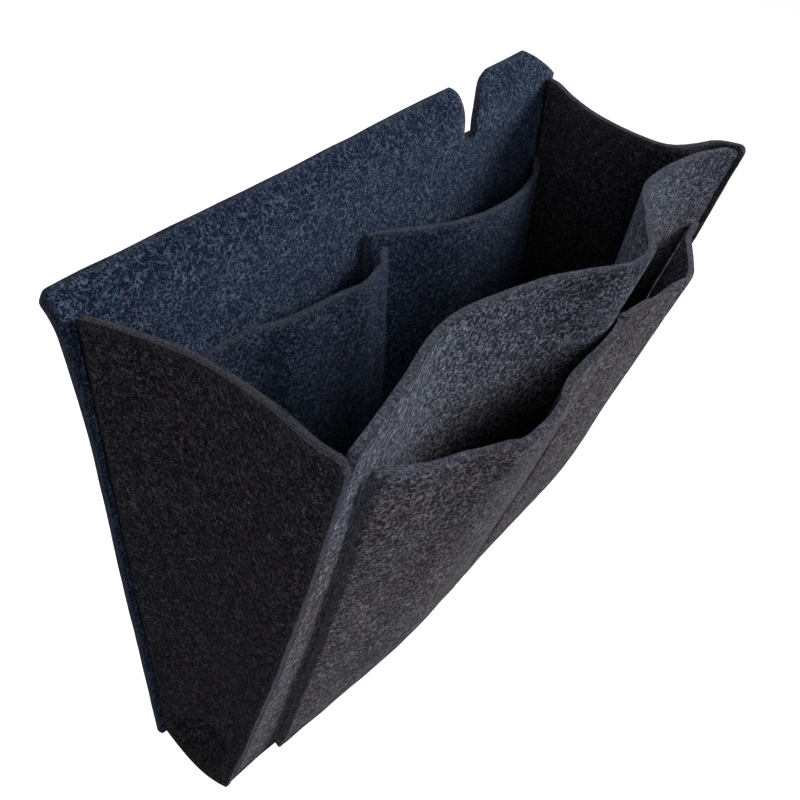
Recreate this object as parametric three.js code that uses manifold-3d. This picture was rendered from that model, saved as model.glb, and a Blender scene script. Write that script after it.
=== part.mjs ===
// Bedside caddy: a hanging pouch of 3 mm felt, wide at the mouth and narrow at the foot,
// with two pockets inside its back panel, two on its front panel and a flap that tucks
// under a mattress. Millimetres, +Z up, the pouch's front faces -Y. The origin is the middle
// of the line on the back panel's rear face where the flap folds.
import * as THREE from "three";
import { mergeVertices } from "three/addons/utils/BufferGeometryUtils.js";
import Module from "manifold-3d";

const wasm = await Module();
wasm.setup();
const { clamp, degToRad, lerp, smoothstep } = THREE.MathUtils;

// Felt and clearances
const felt = 3; // thickness of every panel
const seamGap = 0.3; // clearance between two faces that are sewn together
const cutOverrun = 5; // how far a cutting body runs past the felt
const normalStepShare = 0.002; // step for the slope of a surface, as a share of the sheet

// Pouch
const caddyWidth = 300;
const pouchHeight = 240; // mouth line down to the panels' lower edges
const mouthAboveFold = 24; // mouth line above the flap's fold line
const mouthReachLeft = 114.5; // back panel's inner face to the front panel's face
const mouthReachRight = 107.5;
const footReach = 43.3;
const mouthRiseLeft = 8.3; // the front rim stands above the mouth line at the left
const mouthDropRight = 5.5; // and sags below it at the right
const frontCrown = 2.5; // the front panel's fullness between rim and foot
const frontWave = 17.5; // depth of the rim's wave
const footBow = 12; // how far the foot bows out between the gussets
const waveFadeShare = 1.5; // power with which the wave dies away downwards
const bowEndShare = 1.5; // power with which the bow starts from its ends

// Rim wave of the front panel, inwards, against the share of the width
const rimWaveShares = [
  [0, 0], [0.12, 0.5], [0.25, 1], [0.39, 0.38], [0.53, -0.71],
  [0.64, 0], [0.75, 0.82], [0.9, 0.66], [1, 0],
];

// Back panel
const stripBendRadius = 19; // the strip above the mouth line leans back round this radius
const stripBendAngle = degToRad(58);
const stripBendDrop = 8; // the bend starts this far below the mouth line
const stripRiseRight = 7; // the strip stands this much taller at its right end
const stripFlare = 3; // each end of the strip runs out past the pouch
const stripFlareHeight = 50; // height over which the panel widens to that
const stripCornerWidth = 22; // rounding of the strip's right corner, along its upper edge
const stripCornerHeight = 14.5; // and down its end
const stripCornerTurnShare = 0.2; // share of its width at which it turns down

// Cable notch in the back panel's upper edge
const notchFromLeft = 222;
const notchWidth = 9;
const notchDrop = 13; // its floor below the mouth line
const notchMouthRadius = 4; // at the left of its mouth
const notchFlareRadius = 20; // at the right, where the mouth flares out
const notchFloorRadius = 3;

// Gussets
const gussetInset = 2.5; // outer face from the back panel's edge, at the back
const leftGussetBow = 8; // inward bow of the left gusset at the mouth
const rightGussetBow = 24; // inward bow of the right gusset at the mouth
const leftMarginProud = 0.6; // raw margin past the front panel's face
const rightMarginProud = 2;
const rightRimDip = 3; // sag of the right gusset's rim towards its front
const leftBowShares = [[0, 0], [0.16, 0.5], [0.45, 1], [0.75, 0.6], [0.9, 0.12], [0.95, 0], [1, 0]];
const rightBowShares = [
  [0, 0], [0.06, 0.08], [0.2, 0.5], [0.4, 0.88], [0.65, 1],
  [0.76, 0.94], [0.84, 0.62], [0.9, 0.16], [0.94, 0], [1, 0],
];

// Dent near the foot of each gusset, under an arched fold
const dentDepth = 12;
const dentHeight = 46; // the arch's top above the foot
const dentRowShare = 0.7; // share of the sheet that lies above the arch
const dentRowShares = [0.1, 0.2, 0.4, 0.55, 0.7, 0.84, 1]; // rows below the arch
const dentArchShares = [[0, 0.4], [0.26, 0.63], [0.42, 0.8], [0.57, 0.9], [0.72, 0.99], [1, 1]];
const dentAcrossShares = [[0, 0], [0.1, 0.1], [0.3, 1], [0.72, 1], [0.86, 0.3], [0.93, 0], [1, 0]];
const dentDownShares = [[0, 0], [0.2, 0.8], [0.4, 1], [0.66, 0.5], [0.84, 0], [1, 0]];

// Bottom strip
const bottomLift = 2; // its underside above the panels' lower edges
const bottomSag = 8; // how far it sags between the panels
const bottomEndGap = 0.8; // clearance of its ends to the gussets, whose feet lean a little

// Inner pocket on the right, a wide one, sewn to the back panel
const innerRightFrom = 146; // from the caddy's left edge
const innerRightInset = 7.5; // its right end from the caddy's right edge
const innerRightRimLeft = 30; // rim below the mouth line, at its left end
const innerRightRimRight = 40;
const innerRightBulge = 24;
const innerRightShares = [
  [0, 0], [0.06, 0.1], [0.31, 0.84], [0.57, 1], [0.8, 0.7], [0.93, 0.3], [1, 0],
];

// Inner pocket on the left, whose right end laps over the right one
const innerLeftFrom = 10;
const innerLeftTo = 154.5;
const innerLeftRimLeft = 42;
const innerLeftRimRight = 35;
const innerLeftBulge = 18;
const innerLapRun = 8; // width over which the left pocket climbs onto the right one
const innerLeftShares = [
  [0, 0], [0.3, 0.02], [0.43, 0.2], [0.53, 0.6], [0.7, 0.82], [0.8, 1],
  [0.89, 0.78], [0.95, 0.38], [1, 0],
];
const innerPocketFootLift = 37; // both pockets' lower edge above the panels' lower edges
const innerFadeShares = [[0, 1], [0.3, 0.86], [0.6, 0.55], [0.85, 0.2], [1, 0]];

// Front pockets, side by side on the front panel
const frontPocketFrom = 20;
const frontPocketSplit = 169.5; // seam between the two
const frontPocketInset = 8; // their right end from the caddy's right edge
const frontPocketTaper = 10; // each outer edge comes in by this much at the foot
const frontPocketFootLift = 1;
const largePocketRim = 33; // rim below the mouth line, at its right end
const largePocketBulge = 32;
const smallPocketRim = 45;
const smallPocketBulge = 27;
const largeRimShares = [[0, 0.45], [0.19, 0.73], [0.41, 0.82], [0.7, 0.92], [1, 1]];
const smallRimShares = [[0, 0.74], [0.5, 0.87], [1, 1]];
const largeBulgeShares = [
  [0, 0], [0.19, 0.52], [0.29, 0.83], [0.41, 1], [0.55, 0.92],
  [0.63, 0.76], [0.75, 0.42], [0.89, 0.1], [1, 0],
];
const smallBulgeShares = [
  [0, 0], [0.16, 0.45], [0.32, 0.85], [0.43, 1], [0.57, 0.95], [0.7, 0.72], [0.84, 0.36], [1, 0],
];
const largeFadeShares = [[0, 1], [0.3, 0.64], [0.7, 0.34], [0.92, 0.1], [1, 0]];
const smallFadeShares = [[0, 1], [0.3, 0.7], [0.7, 0.44], [0.92, 0.14], [1, 0]];

// Mattress flap
const flapWidth = 280;
const flapLength = 170;
const flapCornerRadius = 20;
const marginHeight = 12; // sewn margin above the fold line
const marginCornerRadius = 3;

// Places that follow from the sizes
const halfWidth = caddyWidth / 2;
const backFace = -felt; // the back panel's inner face
const mouthLevel = mouthAboveFold;
const footLevel = mouthLevel - pouchHeight;
const frontHalfWidth = halfWidth - felt - seamGap;
const bottomUnderside = footLevel + bottomLift;
const innerRightTo = caddyWidth - innerRightInset;
const frontPocketTo = caddyWidth - frontPocketInset;
const rimWave = shareCurve(rimWaveShares);

// Materials
const charcoalFelt = new THREE.MeshStandardMaterial({ color: 0x30323c, roughness: 0.95, metalness: 0 });
const liningFelt = new THREE.MeshStandardMaterial({ color: 0x262d3b, roughness: 0.95, metalness: 0 });
const pocketFelt = new THREE.MeshStandardMaterial({ color: 0x33333a, roughness: 0.95, metalness: 0 });

// A smooth curve through a short table of [share along, share of the height] pairs
function shareCurve(table) {
  const slopes = table.map((pair, i) => {
    const before = table[Math.max(i - 1, 0)];
    const after = table[Math.min(i + 1, table.length - 1)];
    return (after[1] - before[1]) / (after[0] - before[0]);
  });
  return (along) => {
    let i = 0;
    while (i < table.length - 2 && along > table[i + 1][0]) i += 1;
    const [fromAlong, fromHeight] = table[i];
    const [toAlong, toHeight] = table[i + 1];
    const span = toAlong - fromAlong;
    const t = clamp((along - fromAlong) / span, 0, 1);
    const arrive = t * t * (3 - 2 * t);
    const leaveSlope = slopes[i] * span * t * (1 - t) * (1 - t);
    const arriveSlope = slopes[i + 1] * span * t * t * (t - 1);
    return lerp(fromHeight, toHeight, arrive) + leaveSlope + arriveSlope;
  };
}

// Unit normal of a face given by faceAt(across, down), towards its thickness
function faceNormal(faceAt, across, down) {
  const acrossEnd = Math.min(across + normalStepShare, 1);
  const downEnd = Math.min(down + normalStepShare, 1);
  const acrossStart = Math.max(acrossEnd - 2 * normalStepShare, 0);
  const downStart = Math.max(downEnd - 2 * normalStepShare, 0);
  const along = faceAt(acrossEnd, down).sub(faceAt(acrossStart, down));
  const fall = faceAt(across, downEnd).sub(faceAt(across, downStart));
  return along.cross(fall).normalize();
}

// The point at a distance from a face, along its normal
function offFace(faceAt, across, down, distance) {
  return faceAt(across, down).addScaledVector(faceNormal(faceAt, across, down), distance);
}

// The same straight backwards, so that the ends of a panel stay square to the gussets
function behindFace(faceAt, across, down, distance) {
  const point = faceAt(across, down);
  point.y += distance / faceNormal(faceAt, across, down).y;
  return point;
}

// The same sideways, so that the ends of a gusset stay square to the panels
function besideFace(faceAt, across, down, distance) {
  const point = faceAt(across, down);
  point.x += distance / faceNormal(faceAt, across, down).x;
  return point;
}

// The same straight upwards, for the bottom strip
function aboveFace(faceAt, across, down, distance) {
  const point = faceAt(across, down);
  point.z += distance / faceNormal(faceAt, across, down).z;
  return point;
}

// Even steps from 0 to 1
function evenShares(steps) {
  return Array.from({ length: steps + 1 }, (_, i) => i / steps);
}

// A closed sheet of felt behind a face, on a grid of columns and rows
function feltSheet(faceAt, columnShares, rowShares, behind = offFace) {
  const positions = [];
  const indices = [];
  const columns = columnShares.length - 1;
  const rows = rowShares.length - 1;
  const layerSize = (columns + 1) * (rows + 1);
  for (const depth of [0, felt]) {
    for (const down of rowShares) {
      for (const across of columnShares) {
        const point = behind(faceAt, across, down, depth);
        positions.push(point.x, point.y, point.z);
      }
    }
  }
  const at = (column, row, layer) => layer * layerSize + row * (columns + 1) + column;
  const quad = (a, b, c, d) => indices.push(a, b, c, a, c, d);
  for (let row = 0; row < rows; row += 1) {
    for (let column = 0; column < columns; column += 1) {
      const right = column + 1;
      const below = row + 1;
      quad(at(column, row, 0), at(column, below, 0), at(right, below, 0), at(right, row, 0));
      quad(at(column, row, 1), at(right, row, 1), at(right, below, 1), at(column, below, 1));
    }
  }
  for (let column = 0; column < columns; column += 1) {
    const right = column + 1;
    quad(at(column, 0, 0), at(right, 0, 0), at(right, 0, 1), at(column, 0, 1));
    quad(at(column, rows, 0), at(column, rows, 1), at(right, rows, 1), at(right, rows, 0));
  }
  for (let row = 0; row < rows; row += 1) {
    const below = row + 1;
    quad(at(0, row, 0), at(0, row, 1), at(0, below, 1), at(0, below, 0));
    quad(at(columns, row, 0), at(columns, below, 0), at(columns, below, 1), at(columns, row, 1));
  }
  const geometry = new THREE.BufferGeometry();
  geometry.setAttribute("position", new THREE.Float32BufferAttribute(positions, 3));
  geometry.setIndex(indices);
  return geometry;
}

// Turns a closed geometry into a solid that can be cut
function toSolid(geometry) {
  const bare = geometry.clone();
  bare.deleteAttribute("normal");
  bare.deleteAttribute("uv");
  const merged = mergeVertices(bare);
  const vertProperties = new Float32Array(merged.attributes.position.array);
  const triVerts = new Uint32Array(merged.index.array);
  return new wasm.Manifold(new wasm.Mesh({ numProp: 3, vertProperties, triVerts }));
}

// Takes the second geometry away from the first
function cutAway(geometry, cutter) {
  const mesh = toSolid(geometry).subtract(toSolid(cutter)).getMesh();
  const result = new THREE.BufferGeometry();
  result.setAttribute("position", new THREE.Float32BufferAttribute(mesh.vertProperties, 3));
  result.setIndex(Array.from(mesh.triVerts));
  return result;
}

// Places an outline drawn in X and Z so that its thickness runs from Y = start, backwards
function standingPlate(outline, start, thickness) {
  const settings = { depth: thickness, bevelEnabled: false, curveSegments: 6 };
  const geometry = new THREE.ExtrudeGeometry(outline, settings);
  geometry.rotateX(Math.PI / 2);
  geometry.translate(0, start + thickness, 0);
  return geometry;
}

// Front panel's outer face: a straight lean from rim to foot, the rim's wave and the foot's bow
function frontRim(across) {
  const x = lerp(-frontHalfWidth, frontHalfWidth, across);
  const reach = lerp(mouthReachLeft, mouthReachRight, across);
  const rise = lerp(mouthRiseLeft, -mouthDropRight, across);
  return new THREE.Vector3(x, backFace - reach, mouthLevel + rise);
}

function frontFace(across, down) {
  const rim = frontRim(across);
  const foot = new THREE.Vector3(rim.x, backFace - footReach, footLevel);
  const point = rim.lerp(foot, down);
  const bow = footBow * Math.sin(Math.PI * across) ** bowEndShare;
  point.y += frontWave * rimWave(across) * (1 - down) ** waveFadeShare;
  point.y -= frontCrown * Math.sin(Math.PI * down) + bow * down;
  return point;
}

function frontDownAt(across, level) {
  const rimLevel = frontRim(across).z;
  return clamp((rimLevel - level) / (rimLevel - footLevel), 0, 1);
}

function frontYAt(across, level, distance) {
  return behindFace(frontFace, across, frontDownAt(across, level), distance).y;
}

// Back panel's inner face, with the strip above the mouth leaning back and running out sideways
const backBendLength = stripBendRadius * stripBendAngle;
const backFlatHeight = pouchHeight - stripBendDrop;
const backBendShare = backBendLength / (backBendLength + backFlatHeight);
const backFlareShare = (backBendLength + stripFlareHeight) / (backBendLength + backFlatHeight);

function backInnerFace(across, down) {
  const flare = stripFlare * (1 - smoothstep(down, 0, backFlareShare));
  const x = lerp(-halfWidth - flare, halfWidth + flare, across);
  const bendLevel = mouthLevel - stripBendDrop;
  const rise = stripRiseRight * across;
  if (down >= backBendShare) {
    const fallen = (down - backBendShare) / (1 - backBendShare);
    const risen = rise * (1 - smoothstep(down, backBendShare, backFlareShare));
    return new THREE.Vector3(x, backFace, bendLevel - fallen * backFlatHeight + risen);
  }
  const angle = stripBendAngle * (1 - down / backBendShare);
  const y = backFace + stripBendRadius * (1 - Math.cos(angle));
  return new THREE.Vector3(x, y, bendLevel + rise + stripBendRadius * Math.sin(angle));
}

// Level of the panel's upper edge, at a share of the width
function lipLevel(across) {
  const bendRise = stripBendRadius * Math.sin(stripBendAngle);
  return mouthLevel - stripBendDrop + stripRiseRight * across + bendRise;
}

// Cuts through the panel from its front to behind its leaning strip
function throughBack(outline) {
  const start = backFace - cutOverrun;
  const end = backFace + stripBendRadius + cutOverrun;
  return standingPlate(outline, start, end - start);
}

// Cable notch: a U open at the panel's upper edge, whose mouth flares out to the right
function notchCutter() {
  const left = notchFromLeft - halfWidth;
  const right = left + notchWidth;
  const floor = mouthLevel - notchDrop;
  const lip = lipLevel(notchFromLeft / caddyWidth);
  const flareLip = lipLevel((notchFromLeft + notchWidth + notchFlareRadius) / caddyWidth);
  const above = flareLip + cutOverrun;
  const mouth = notchMouthRadius;
  const flare = notchFlareRadius;
  const corner = notchFloorRadius;
  const outline = new THREE.Shape();
  outline.moveTo(left + corner, floor);
  outline.lineTo(right - corner, floor);
  outline.absarc(right - corner, floor + corner, corner, -Math.PI / 2, 0, false);
  outline.absarc(right + flare, flareLip - flare, flare, Math.PI, Math.PI / 2, true);
  outline.lineTo(right + flare, above);
  outline.lineTo(left - mouth, above);
  outline.absarc(left - mouth, lip - mouth, mouth, Math.PI / 2, 0, true);
  outline.absarc(left + corner, floor + corner, corner, Math.PI, 1.5 * Math.PI, false);
  return throughBack(outline);
}

// What the rounding takes away at the strip's right corner
function cornerCutter() {
  const end = halfWidth + stripFlare;
  const lip = lipLevel(1);
  const from = end - stripCornerWidth;
  const foot = lip - stripCornerHeight;
  const outline = new THREE.Shape();
  outline.moveTo(from, lip + cutOverrun);
  outline.lineTo(from, lip);
  outline.quadraticCurveTo(from + stripCornerWidth * stripCornerTurnShare, lip, end, foot);
  outline.lineTo(end + cutOverrun, foot);
  outline.lineTo(end + cutOverrun, lip + cutOverrun);
  return throughBack(outline);
}

// Bottom strip's underside, sagging between the back panel and the front panel
function bottomLevel(deep) {
  return bottomUnderside - bottomSag * Math.sin(Math.PI * deep);
}

// Gussets: each runs from the back panel to a raw margin just proud of the front panel, down
// to the level of the bottom strip, with a dent under an arched fold near its foot
const leftBow = shareCurve(leftBowShares);
const rightBow = shareCurve(rightBowShares);
const dentArch = shareCurve(dentArchShares);
const dentAcross = shareCurve(dentAcrossShares);
const dentDown = shareCurve(dentDownShares);

function gussetLevel(deep, down, frontRimLevel, rimDip) {
  const rimLevel = lerp(mouthLevel, frontRimLevel, deep) - rimDip * Math.sin(Math.PI * deep * deep);
  const archLevel = footLevel + dentHeight * dentArch(deep);
  if (down < dentRowShare) return lerp(rimLevel, archLevel, down / dentRowShare);
  return lerp(archLevel, bottomLevel(deep), (down - dentRowShare) / (1 - dentRowShare));
}

function gussetFace(across, rimDip, proud, bowDepth, bowCurve, deep, down) {
  const level = gussetLevel(deep, down, frontRim(across).z, rimDip);
  const backY = backFace - seamGap;
  const y = lerp(backY, frontYAt(across, level, 0) - proud, deep);
  const share = clamp((backY - y) / (backY - frontYAt(across, level, felt)), 0, 1);
  const fallen = clamp((mouthLevel - level) / (mouthLevel - footLevel), 0, 1);
  const inset = gussetInset * (1 - share) + bowDepth * bowCurve(share) * (1 - fallen);
  const underArch = clamp((down - dentRowShare) / (1 - dentRowShare), 0, 1);
  return { x: inset + dentDepth * dentAcross(share) * dentDown(underArch), y, level };
}

function leftGussetFace(deep, down) {
  const { x, y, level } = gussetFace(0, 0, leftMarginProud, leftGussetBow, leftBow, deep, down);
  return new THREE.Vector3(x - halfWidth, y, level);
}

function rightGussetFace(deep, down) {
  const { x, y, level } = gussetFace(
    1, rightRimDip, rightMarginProud, rightGussetBow, rightBow, deep, down);
  return new THREE.Vector3(halfWidth - felt - x, y, level);
}

// Bottom strip: its underside runs from front panel to back panel and from gusset to gusset
function bottomFace(across, back) {
  const deep = 1 - back;
  const left = leftGussetFace(deep, 1).x + felt + bottomEndGap;
  const right = rightGussetFace(deep, 1).x - bottomEndGap;
  const x = lerp(left, right, across);
  const share = clamp((x + frontHalfWidth) / (2 * frontHalfWidth), 0, 1);
  const front = frontYAt(share, bottomUnderside, felt) + seamGap;
  return new THREE.Vector3(x, lerp(backFace - seamGap, front, deep), bottomLevel(deep));
}

// Inner pockets stand off the back panel's inner face, most at the rim
const innerFade = shareCurve(innerFadeShares);
const innerRightCurve = shareCurve(innerRightShares);
const innerLeftCurve = shareCurve(innerLeftShares);
const innerFootLevel = footLevel + innerPocketFootLift;

function innerRightRim(x) {
  const share = (x + halfWidth - innerRightFrom) / (innerRightTo - innerRightFrom);
  return mouthLevel - lerp(innerRightRimLeft, innerRightRimRight, clamp(share, 0, 1));
}

function innerRightStandOff(x, level) {
  const share = clamp((x + halfWidth - innerRightFrom) / (innerRightTo - innerRightFrom), 0, 1);
  const fallen = (innerRightRim(x) - level) / (innerRightRim(x) - innerFootLevel);
  return innerRightBulge * innerRightCurve(share) * innerFade(clamp(fallen, 0, 1));
}

function innerRightFace(across, down) {
  const x = lerp(innerRightFrom, innerRightTo, across) - halfWidth;
  const level = lerp(innerRightRim(x), innerFootLevel, down);
  return new THREE.Vector3(x, backFace - seamGap - felt - innerRightStandOff(x, level), level);
}

function innerLeftFace(across, down) {
  const x = lerp(innerLeftFrom, innerLeftTo, across) - halfWidth;
  const rim = mouthLevel - lerp(innerLeftRimLeft, innerLeftRimRight, across);
  const level = lerp(rim, innerFootLevel, down);
  const lapStart = innerRightFrom - halfWidth - felt;
  const climbed = smoothstep(x, lapStart - innerLapRun, lapStart);
  const lap = climbed * (innerRightStandOff(x, level) + felt + seamGap);
  const standOff = innerLeftBulge * innerLeftCurve(across) * innerFade(down) + lap;
  return new THREE.Vector3(x, backFace - seamGap - felt - standOff, level);
}

// Front pockets stand off the front panel's outer face
function frontPocketFace(from, to, tapers, rimDepth, rimCurve, bulge, bulgeCurve, fadeCurve) {
  return (across, down) => {
    const left = from + tapers[0] * down;
    const x = lerp(left, to - tapers[1] * down, across) - halfWidth;
    const share = clamp((x + frontHalfWidth) / (2 * frontHalfWidth), 0, 1);
    const rimDown = frontDownAt(share, mouthLevel - rimDepth * rimCurve(across));
    const footDown = frontDownAt(share, footLevel + frontPocketFootLift);
    const standOff = bulge * bulgeCurve(across) * fadeCurve(down);
    return offFace(frontFace, share, lerp(rimDown, footDown, down), -(seamGap + felt + standOff));
  };
}

const largePocketFace = frontPocketFace(
  frontPocketFrom, frontPocketSplit - seamGap / 2, [frontPocketTaper, 0],
  largePocketRim, shareCurve(largeRimShares),
  largePocketBulge, shareCurve(largeBulgeShares), shareCurve(largeFadeShares));
const smallPocketFace = frontPocketFace(
  frontPocketSplit + seamGap / 2, frontPocketTo, [0, frontPocketTaper],
  smallPocketRim, shareCurve(smallRimShares),
  smallPocketBulge, shareCurve(smallBulgeShares), shareCurve(smallFadeShares));

// Mattress flap, hanging down behind the back panel, and the margin that is sewn to the panel
function flapOutline() {
  const half = flapWidth / 2;
  const top = -seamGap / 2;
  const foot = top - flapLength;
  const radius = flapCornerRadius;
  const outline = new THREE.Shape();
  outline.moveTo(-half, top);
  outline.lineTo(-half, foot + radius);
  outline.absarc(-half + radius, foot + radius, radius, Math.PI, 1.5 * Math.PI, false);
  outline.lineTo(half - radius, foot);
  outline.absarc(half - radius, foot + radius, radius, 1.5 * Math.PI, 2 * Math.PI, false);
  outline.lineTo(half, top);
  return outline;
}

function marginOutline() {
  const half = flapWidth / 2;
  const foot = seamGap / 2;
  const top = foot + marginHeight;
  const radius = marginCornerRadius;
  const outline = new THREE.Shape();
  outline.moveTo(-half, foot);
  outline.lineTo(half, foot);
  outline.lineTo(half, top - radius);
  outline.absarc(half - radius, top - radius, radius, 0, Math.PI / 2, false);
  outline.lineTo(-half + radius, top);
  outline.absarc(-half + radius, top - radius, radius, Math.PI / 2, Math.PI, false);
  return outline;
}

// Assembly
const caddy = new THREE.Group();

function addPiece(name, geometry, material) {
  geometry.computeVertexNormals();
  const mesh = new THREE.Mesh(geometry, material);
  mesh.name = name;
  caddy.add(mesh);
}

const gussetRows = [
  ...evenShares(6).map((share) => share * dentRowShare),
  ...dentRowShares.map((share) => lerp(dentRowShare, 1, share)),
];
const backRows = [
  ...evenShares(6).map((share) => share * backBendShare),
  ...evenShares(4).slice(1).map((share) => lerp(backBendShare, backFlareShare, share)),
  1,
];
const backSheet = feltSheet(backInnerFace, evenShares(6), backRows);
const frontSheet = feltSheet(frontFace, evenShares(26), evenShares(8), behindFace);
const leftGussetSheet = feltSheet(leftGussetFace, evenShares(14), gussetRows, besideFace);
const rightGussetSheet = feltSheet(rightGussetFace, evenShares(20), gussetRows, besideFace);
const bottomSheet = feltSheet(bottomFace, evenShares(16), evenShares(6), aboveFace);
const innerRightSheet = feltSheet(innerRightFace, evenShares(16), evenShares(8));
const innerLeftSheet = feltSheet(innerLeftFace, evenShares(20), evenShares(8));
const largePocketSheet = feltSheet(largePocketFace, evenShares(18), evenShares(8));
const smallPocketSheet = feltSheet(smallPocketFace, evenShares(16), evenShares(8));
const notchedBackSheet = cutAway(backSheet, notchCutter());
addPiece("back_panel", cutAway(notchedBackSheet, cornerCutter()), liningFelt);
addPiece("front_panel", frontSheet, charcoalFelt);
addPiece("left_gusset", leftGussetSheet, charcoalFelt);
addPiece("right_gusset", rightGussetSheet, charcoalFelt);
addPiece("bottom_panel", bottomSheet, charcoalFelt);
addPiece("inner_pocket_right", innerRightSheet, liningFelt);
addPiece("inner_pocket_left", innerLeftSheet, liningFelt);
addPiece("front_pocket_large", largePocketSheet, pocketFelt);
addPiece("front_pocket_small", smallPocketSheet, pocketFelt);
addPiece("flap_sewn_margin", standingPlate(marginOutline(), seamGap, felt), charcoalFelt);
addPiece("mattress_flap", standingPlate(flapOutline(), seamGap, felt), charcoalFelt);

export default caddy;
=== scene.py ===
"""Dresses the bedside caddy: felt panels cut, bent and sewn as on the real pouch, and its stage."""

import math

import bmesh
import bpy
import numpy as np
from mathutils import Euler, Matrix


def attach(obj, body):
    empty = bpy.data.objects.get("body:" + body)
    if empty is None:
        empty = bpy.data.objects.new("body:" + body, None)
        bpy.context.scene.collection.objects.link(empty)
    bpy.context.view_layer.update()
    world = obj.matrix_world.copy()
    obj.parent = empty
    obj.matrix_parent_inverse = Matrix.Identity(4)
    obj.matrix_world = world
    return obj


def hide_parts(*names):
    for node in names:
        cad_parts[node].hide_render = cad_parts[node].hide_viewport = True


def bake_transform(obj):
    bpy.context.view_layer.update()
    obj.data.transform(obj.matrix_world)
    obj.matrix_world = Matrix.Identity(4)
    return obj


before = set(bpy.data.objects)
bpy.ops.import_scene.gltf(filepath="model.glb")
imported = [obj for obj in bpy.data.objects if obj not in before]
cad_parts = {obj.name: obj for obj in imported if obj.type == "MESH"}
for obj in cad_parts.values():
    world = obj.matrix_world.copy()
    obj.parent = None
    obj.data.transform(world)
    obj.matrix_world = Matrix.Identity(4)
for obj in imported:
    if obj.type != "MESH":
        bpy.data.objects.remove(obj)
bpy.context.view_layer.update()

bl_info = {
    "name": "Bedside Caddy",
    "version": (1, 0, 0),
    "blender": (4, 5, 0),
    "location": "View3D > Sidebar > Caddy",
    "description": "Builds a felt bedside caddy with its pockets, seams, mattress flap and stage",
    "category": "Object",
}

# Shares of the panels' curves, the same as in the model of the frame
RIM_WAVE_SHARES = [
    (0, 0), (0.12, 0.5), (0.25, 1), (0.39, 0.38), (0.53, -0.71),
    (0.64, 0), (0.75, 0.82), (0.9, 0.66), (1, 0),
]
LEFT_BOW_SHARES = [(0, 0), (0.16, 0.5), (0.45, 1), (0.75, 0.6), (0.9, 0.12), (0.95, 0), (1, 0)]
RIGHT_BOW_SHARES = [
    (0, 0), (0.06, 0.08), (0.2, 0.5), (0.4, 0.88), (0.65, 1),
    (0.76, 0.94), (0.84, 0.62), (0.9, 0.16), (0.94, 0), (1, 0),
]
DENT_ARCH_SHARES = [(0, 0.4), (0.26, 0.63), (0.42, 0.8), (0.57, 0.9), (0.72, 0.99), (1, 1)]
DENT_ACROSS_SHARES = [(0, 0), (0.1, 0.1), (0.3, 1), (0.72, 1), (0.86, 0.3), (0.93, 0), (1, 0)]
DENT_DOWN_SHARES = [(0, 0), (0.2, 0.8), (0.4, 1), (0.66, 0.5), (0.84, 0), (1, 0)]
DENT_ROW_SHARE = 0.7
INNER_RIGHT_SHARES = [(0, 0), (0.06, 0.1), (0.31, 0.84), (0.57, 1), (0.8, 0.7), (0.93, 0.3), (1, 0)]
INNER_LEFT_SHARES = [
    (0, 0), (0.3, 0.02), (0.43, 0.2), (0.53, 0.6), (0.7, 0.82), (0.8, 1),
    (0.89, 0.78), (0.95, 0.38), (1, 0),
]
INNER_FADE_SHARES = [(0, 1), (0.3, 0.86), (0.6, 0.55), (0.85, 0.2), (1, 0)]
LARGE_RIM_SHARES = [(0, 0.45), (0.19, 0.73), (0.41, 0.82), (0.7, 0.92), (1, 1)]
SMALL_RIM_SHARES = [(0, 0.74), (0.5, 0.87), (1, 1)]
LARGE_BULGE_SHARES = [
    (0, 0), (0.19, 0.52), (0.29, 0.83), (0.41, 1), (0.55, 0.92),
    (0.63, 0.76), (0.75, 0.42), (0.89, 0.1), (1, 0),
]
SMALL_BULGE_SHARES = [
    (0, 0), (0.16, 0.45), (0.32, 0.85), (0.43, 1), (0.57, 0.95), (0.7, 0.72), (0.84, 0.36), (1, 0),
]
LARGE_FADE_SHARES = [(0, 1), (0.3, 0.64), (0.7, 0.34), (0.92, 0.1), (1, 0)]
SMALL_FADE_SHARES = [(0, 1), (0.3, 0.7), (0.7, 0.44), (0.92, 0.14), (1, 0)]
SLOPE_STEP_SHARE = 0.002

# Heights and widths along the curved felt, in metres
FRONT_HIGH = 0.252
GUSSET_HIGH = 0.25
BOTTOM_WIDE = 0.292
BOTTOM_DEEP = 0.048
INNER_RIGHT_HIGH = 0.169
INNER_LEFT_HIGH = 0.165
LARGE_HIGH = 0.226
SMALL_HIGH = 0.208

# Fullness of the inner pockets, as shares of their places' width
INNER_RIGHT_FULLNESS = 1.06
INNER_LEFT_FULLNESS = 1.05

# Corner radii of the cut felt: upper left, upper right, lower right, lower left
FRONT_CORNERS = (0.003, 0.009, 0.002, 0.002)
GUSSET_CORNERS = (0.0015, 0.005, 0.001, 0.001)
BOTTOM_CORNERS = (0.001, 0.001, 0.001, 0.001)
INNER_CORNERS = (0.0025, 0.0025, 0.003, 0.003)
FRONT_POCKET_CORNERS = (0.002, 0.002, 0.003, 0.003)
FLAP_TOP_CORNER = 0.003
STRIP_LEFT_CORNER = 0.004
BACK_FOOT_CORNER = 0.002
CORNER_STEPS = 5
STRIP_CORNER_PULL = 0.2
RUN_STEP = 0.0005

# Unevenness of the felt: waves per metre along X, Y and Z with a phase, and its share each way
SLOW_WAVES = ((71, 23, -37, 0.3), (-29, 67, 41, 1.9), (43, -31, 83, 4.1), (97, 53, 19, 2.7))
FINE_WAVES = ((310, 190, -260, 0.9), (-220, 340, 170, 2.2), (150, -280, 390, 5.0))
SAG_SIDEWAYS_SHARE = 0.6
SAG_FORWARD_SHARE = 0.5
FRAY_WAVELENGTHS = (0.0061, 0.0093, 0.0147, 0.031)
FRAY_RING_SHARE = 0.5
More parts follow.
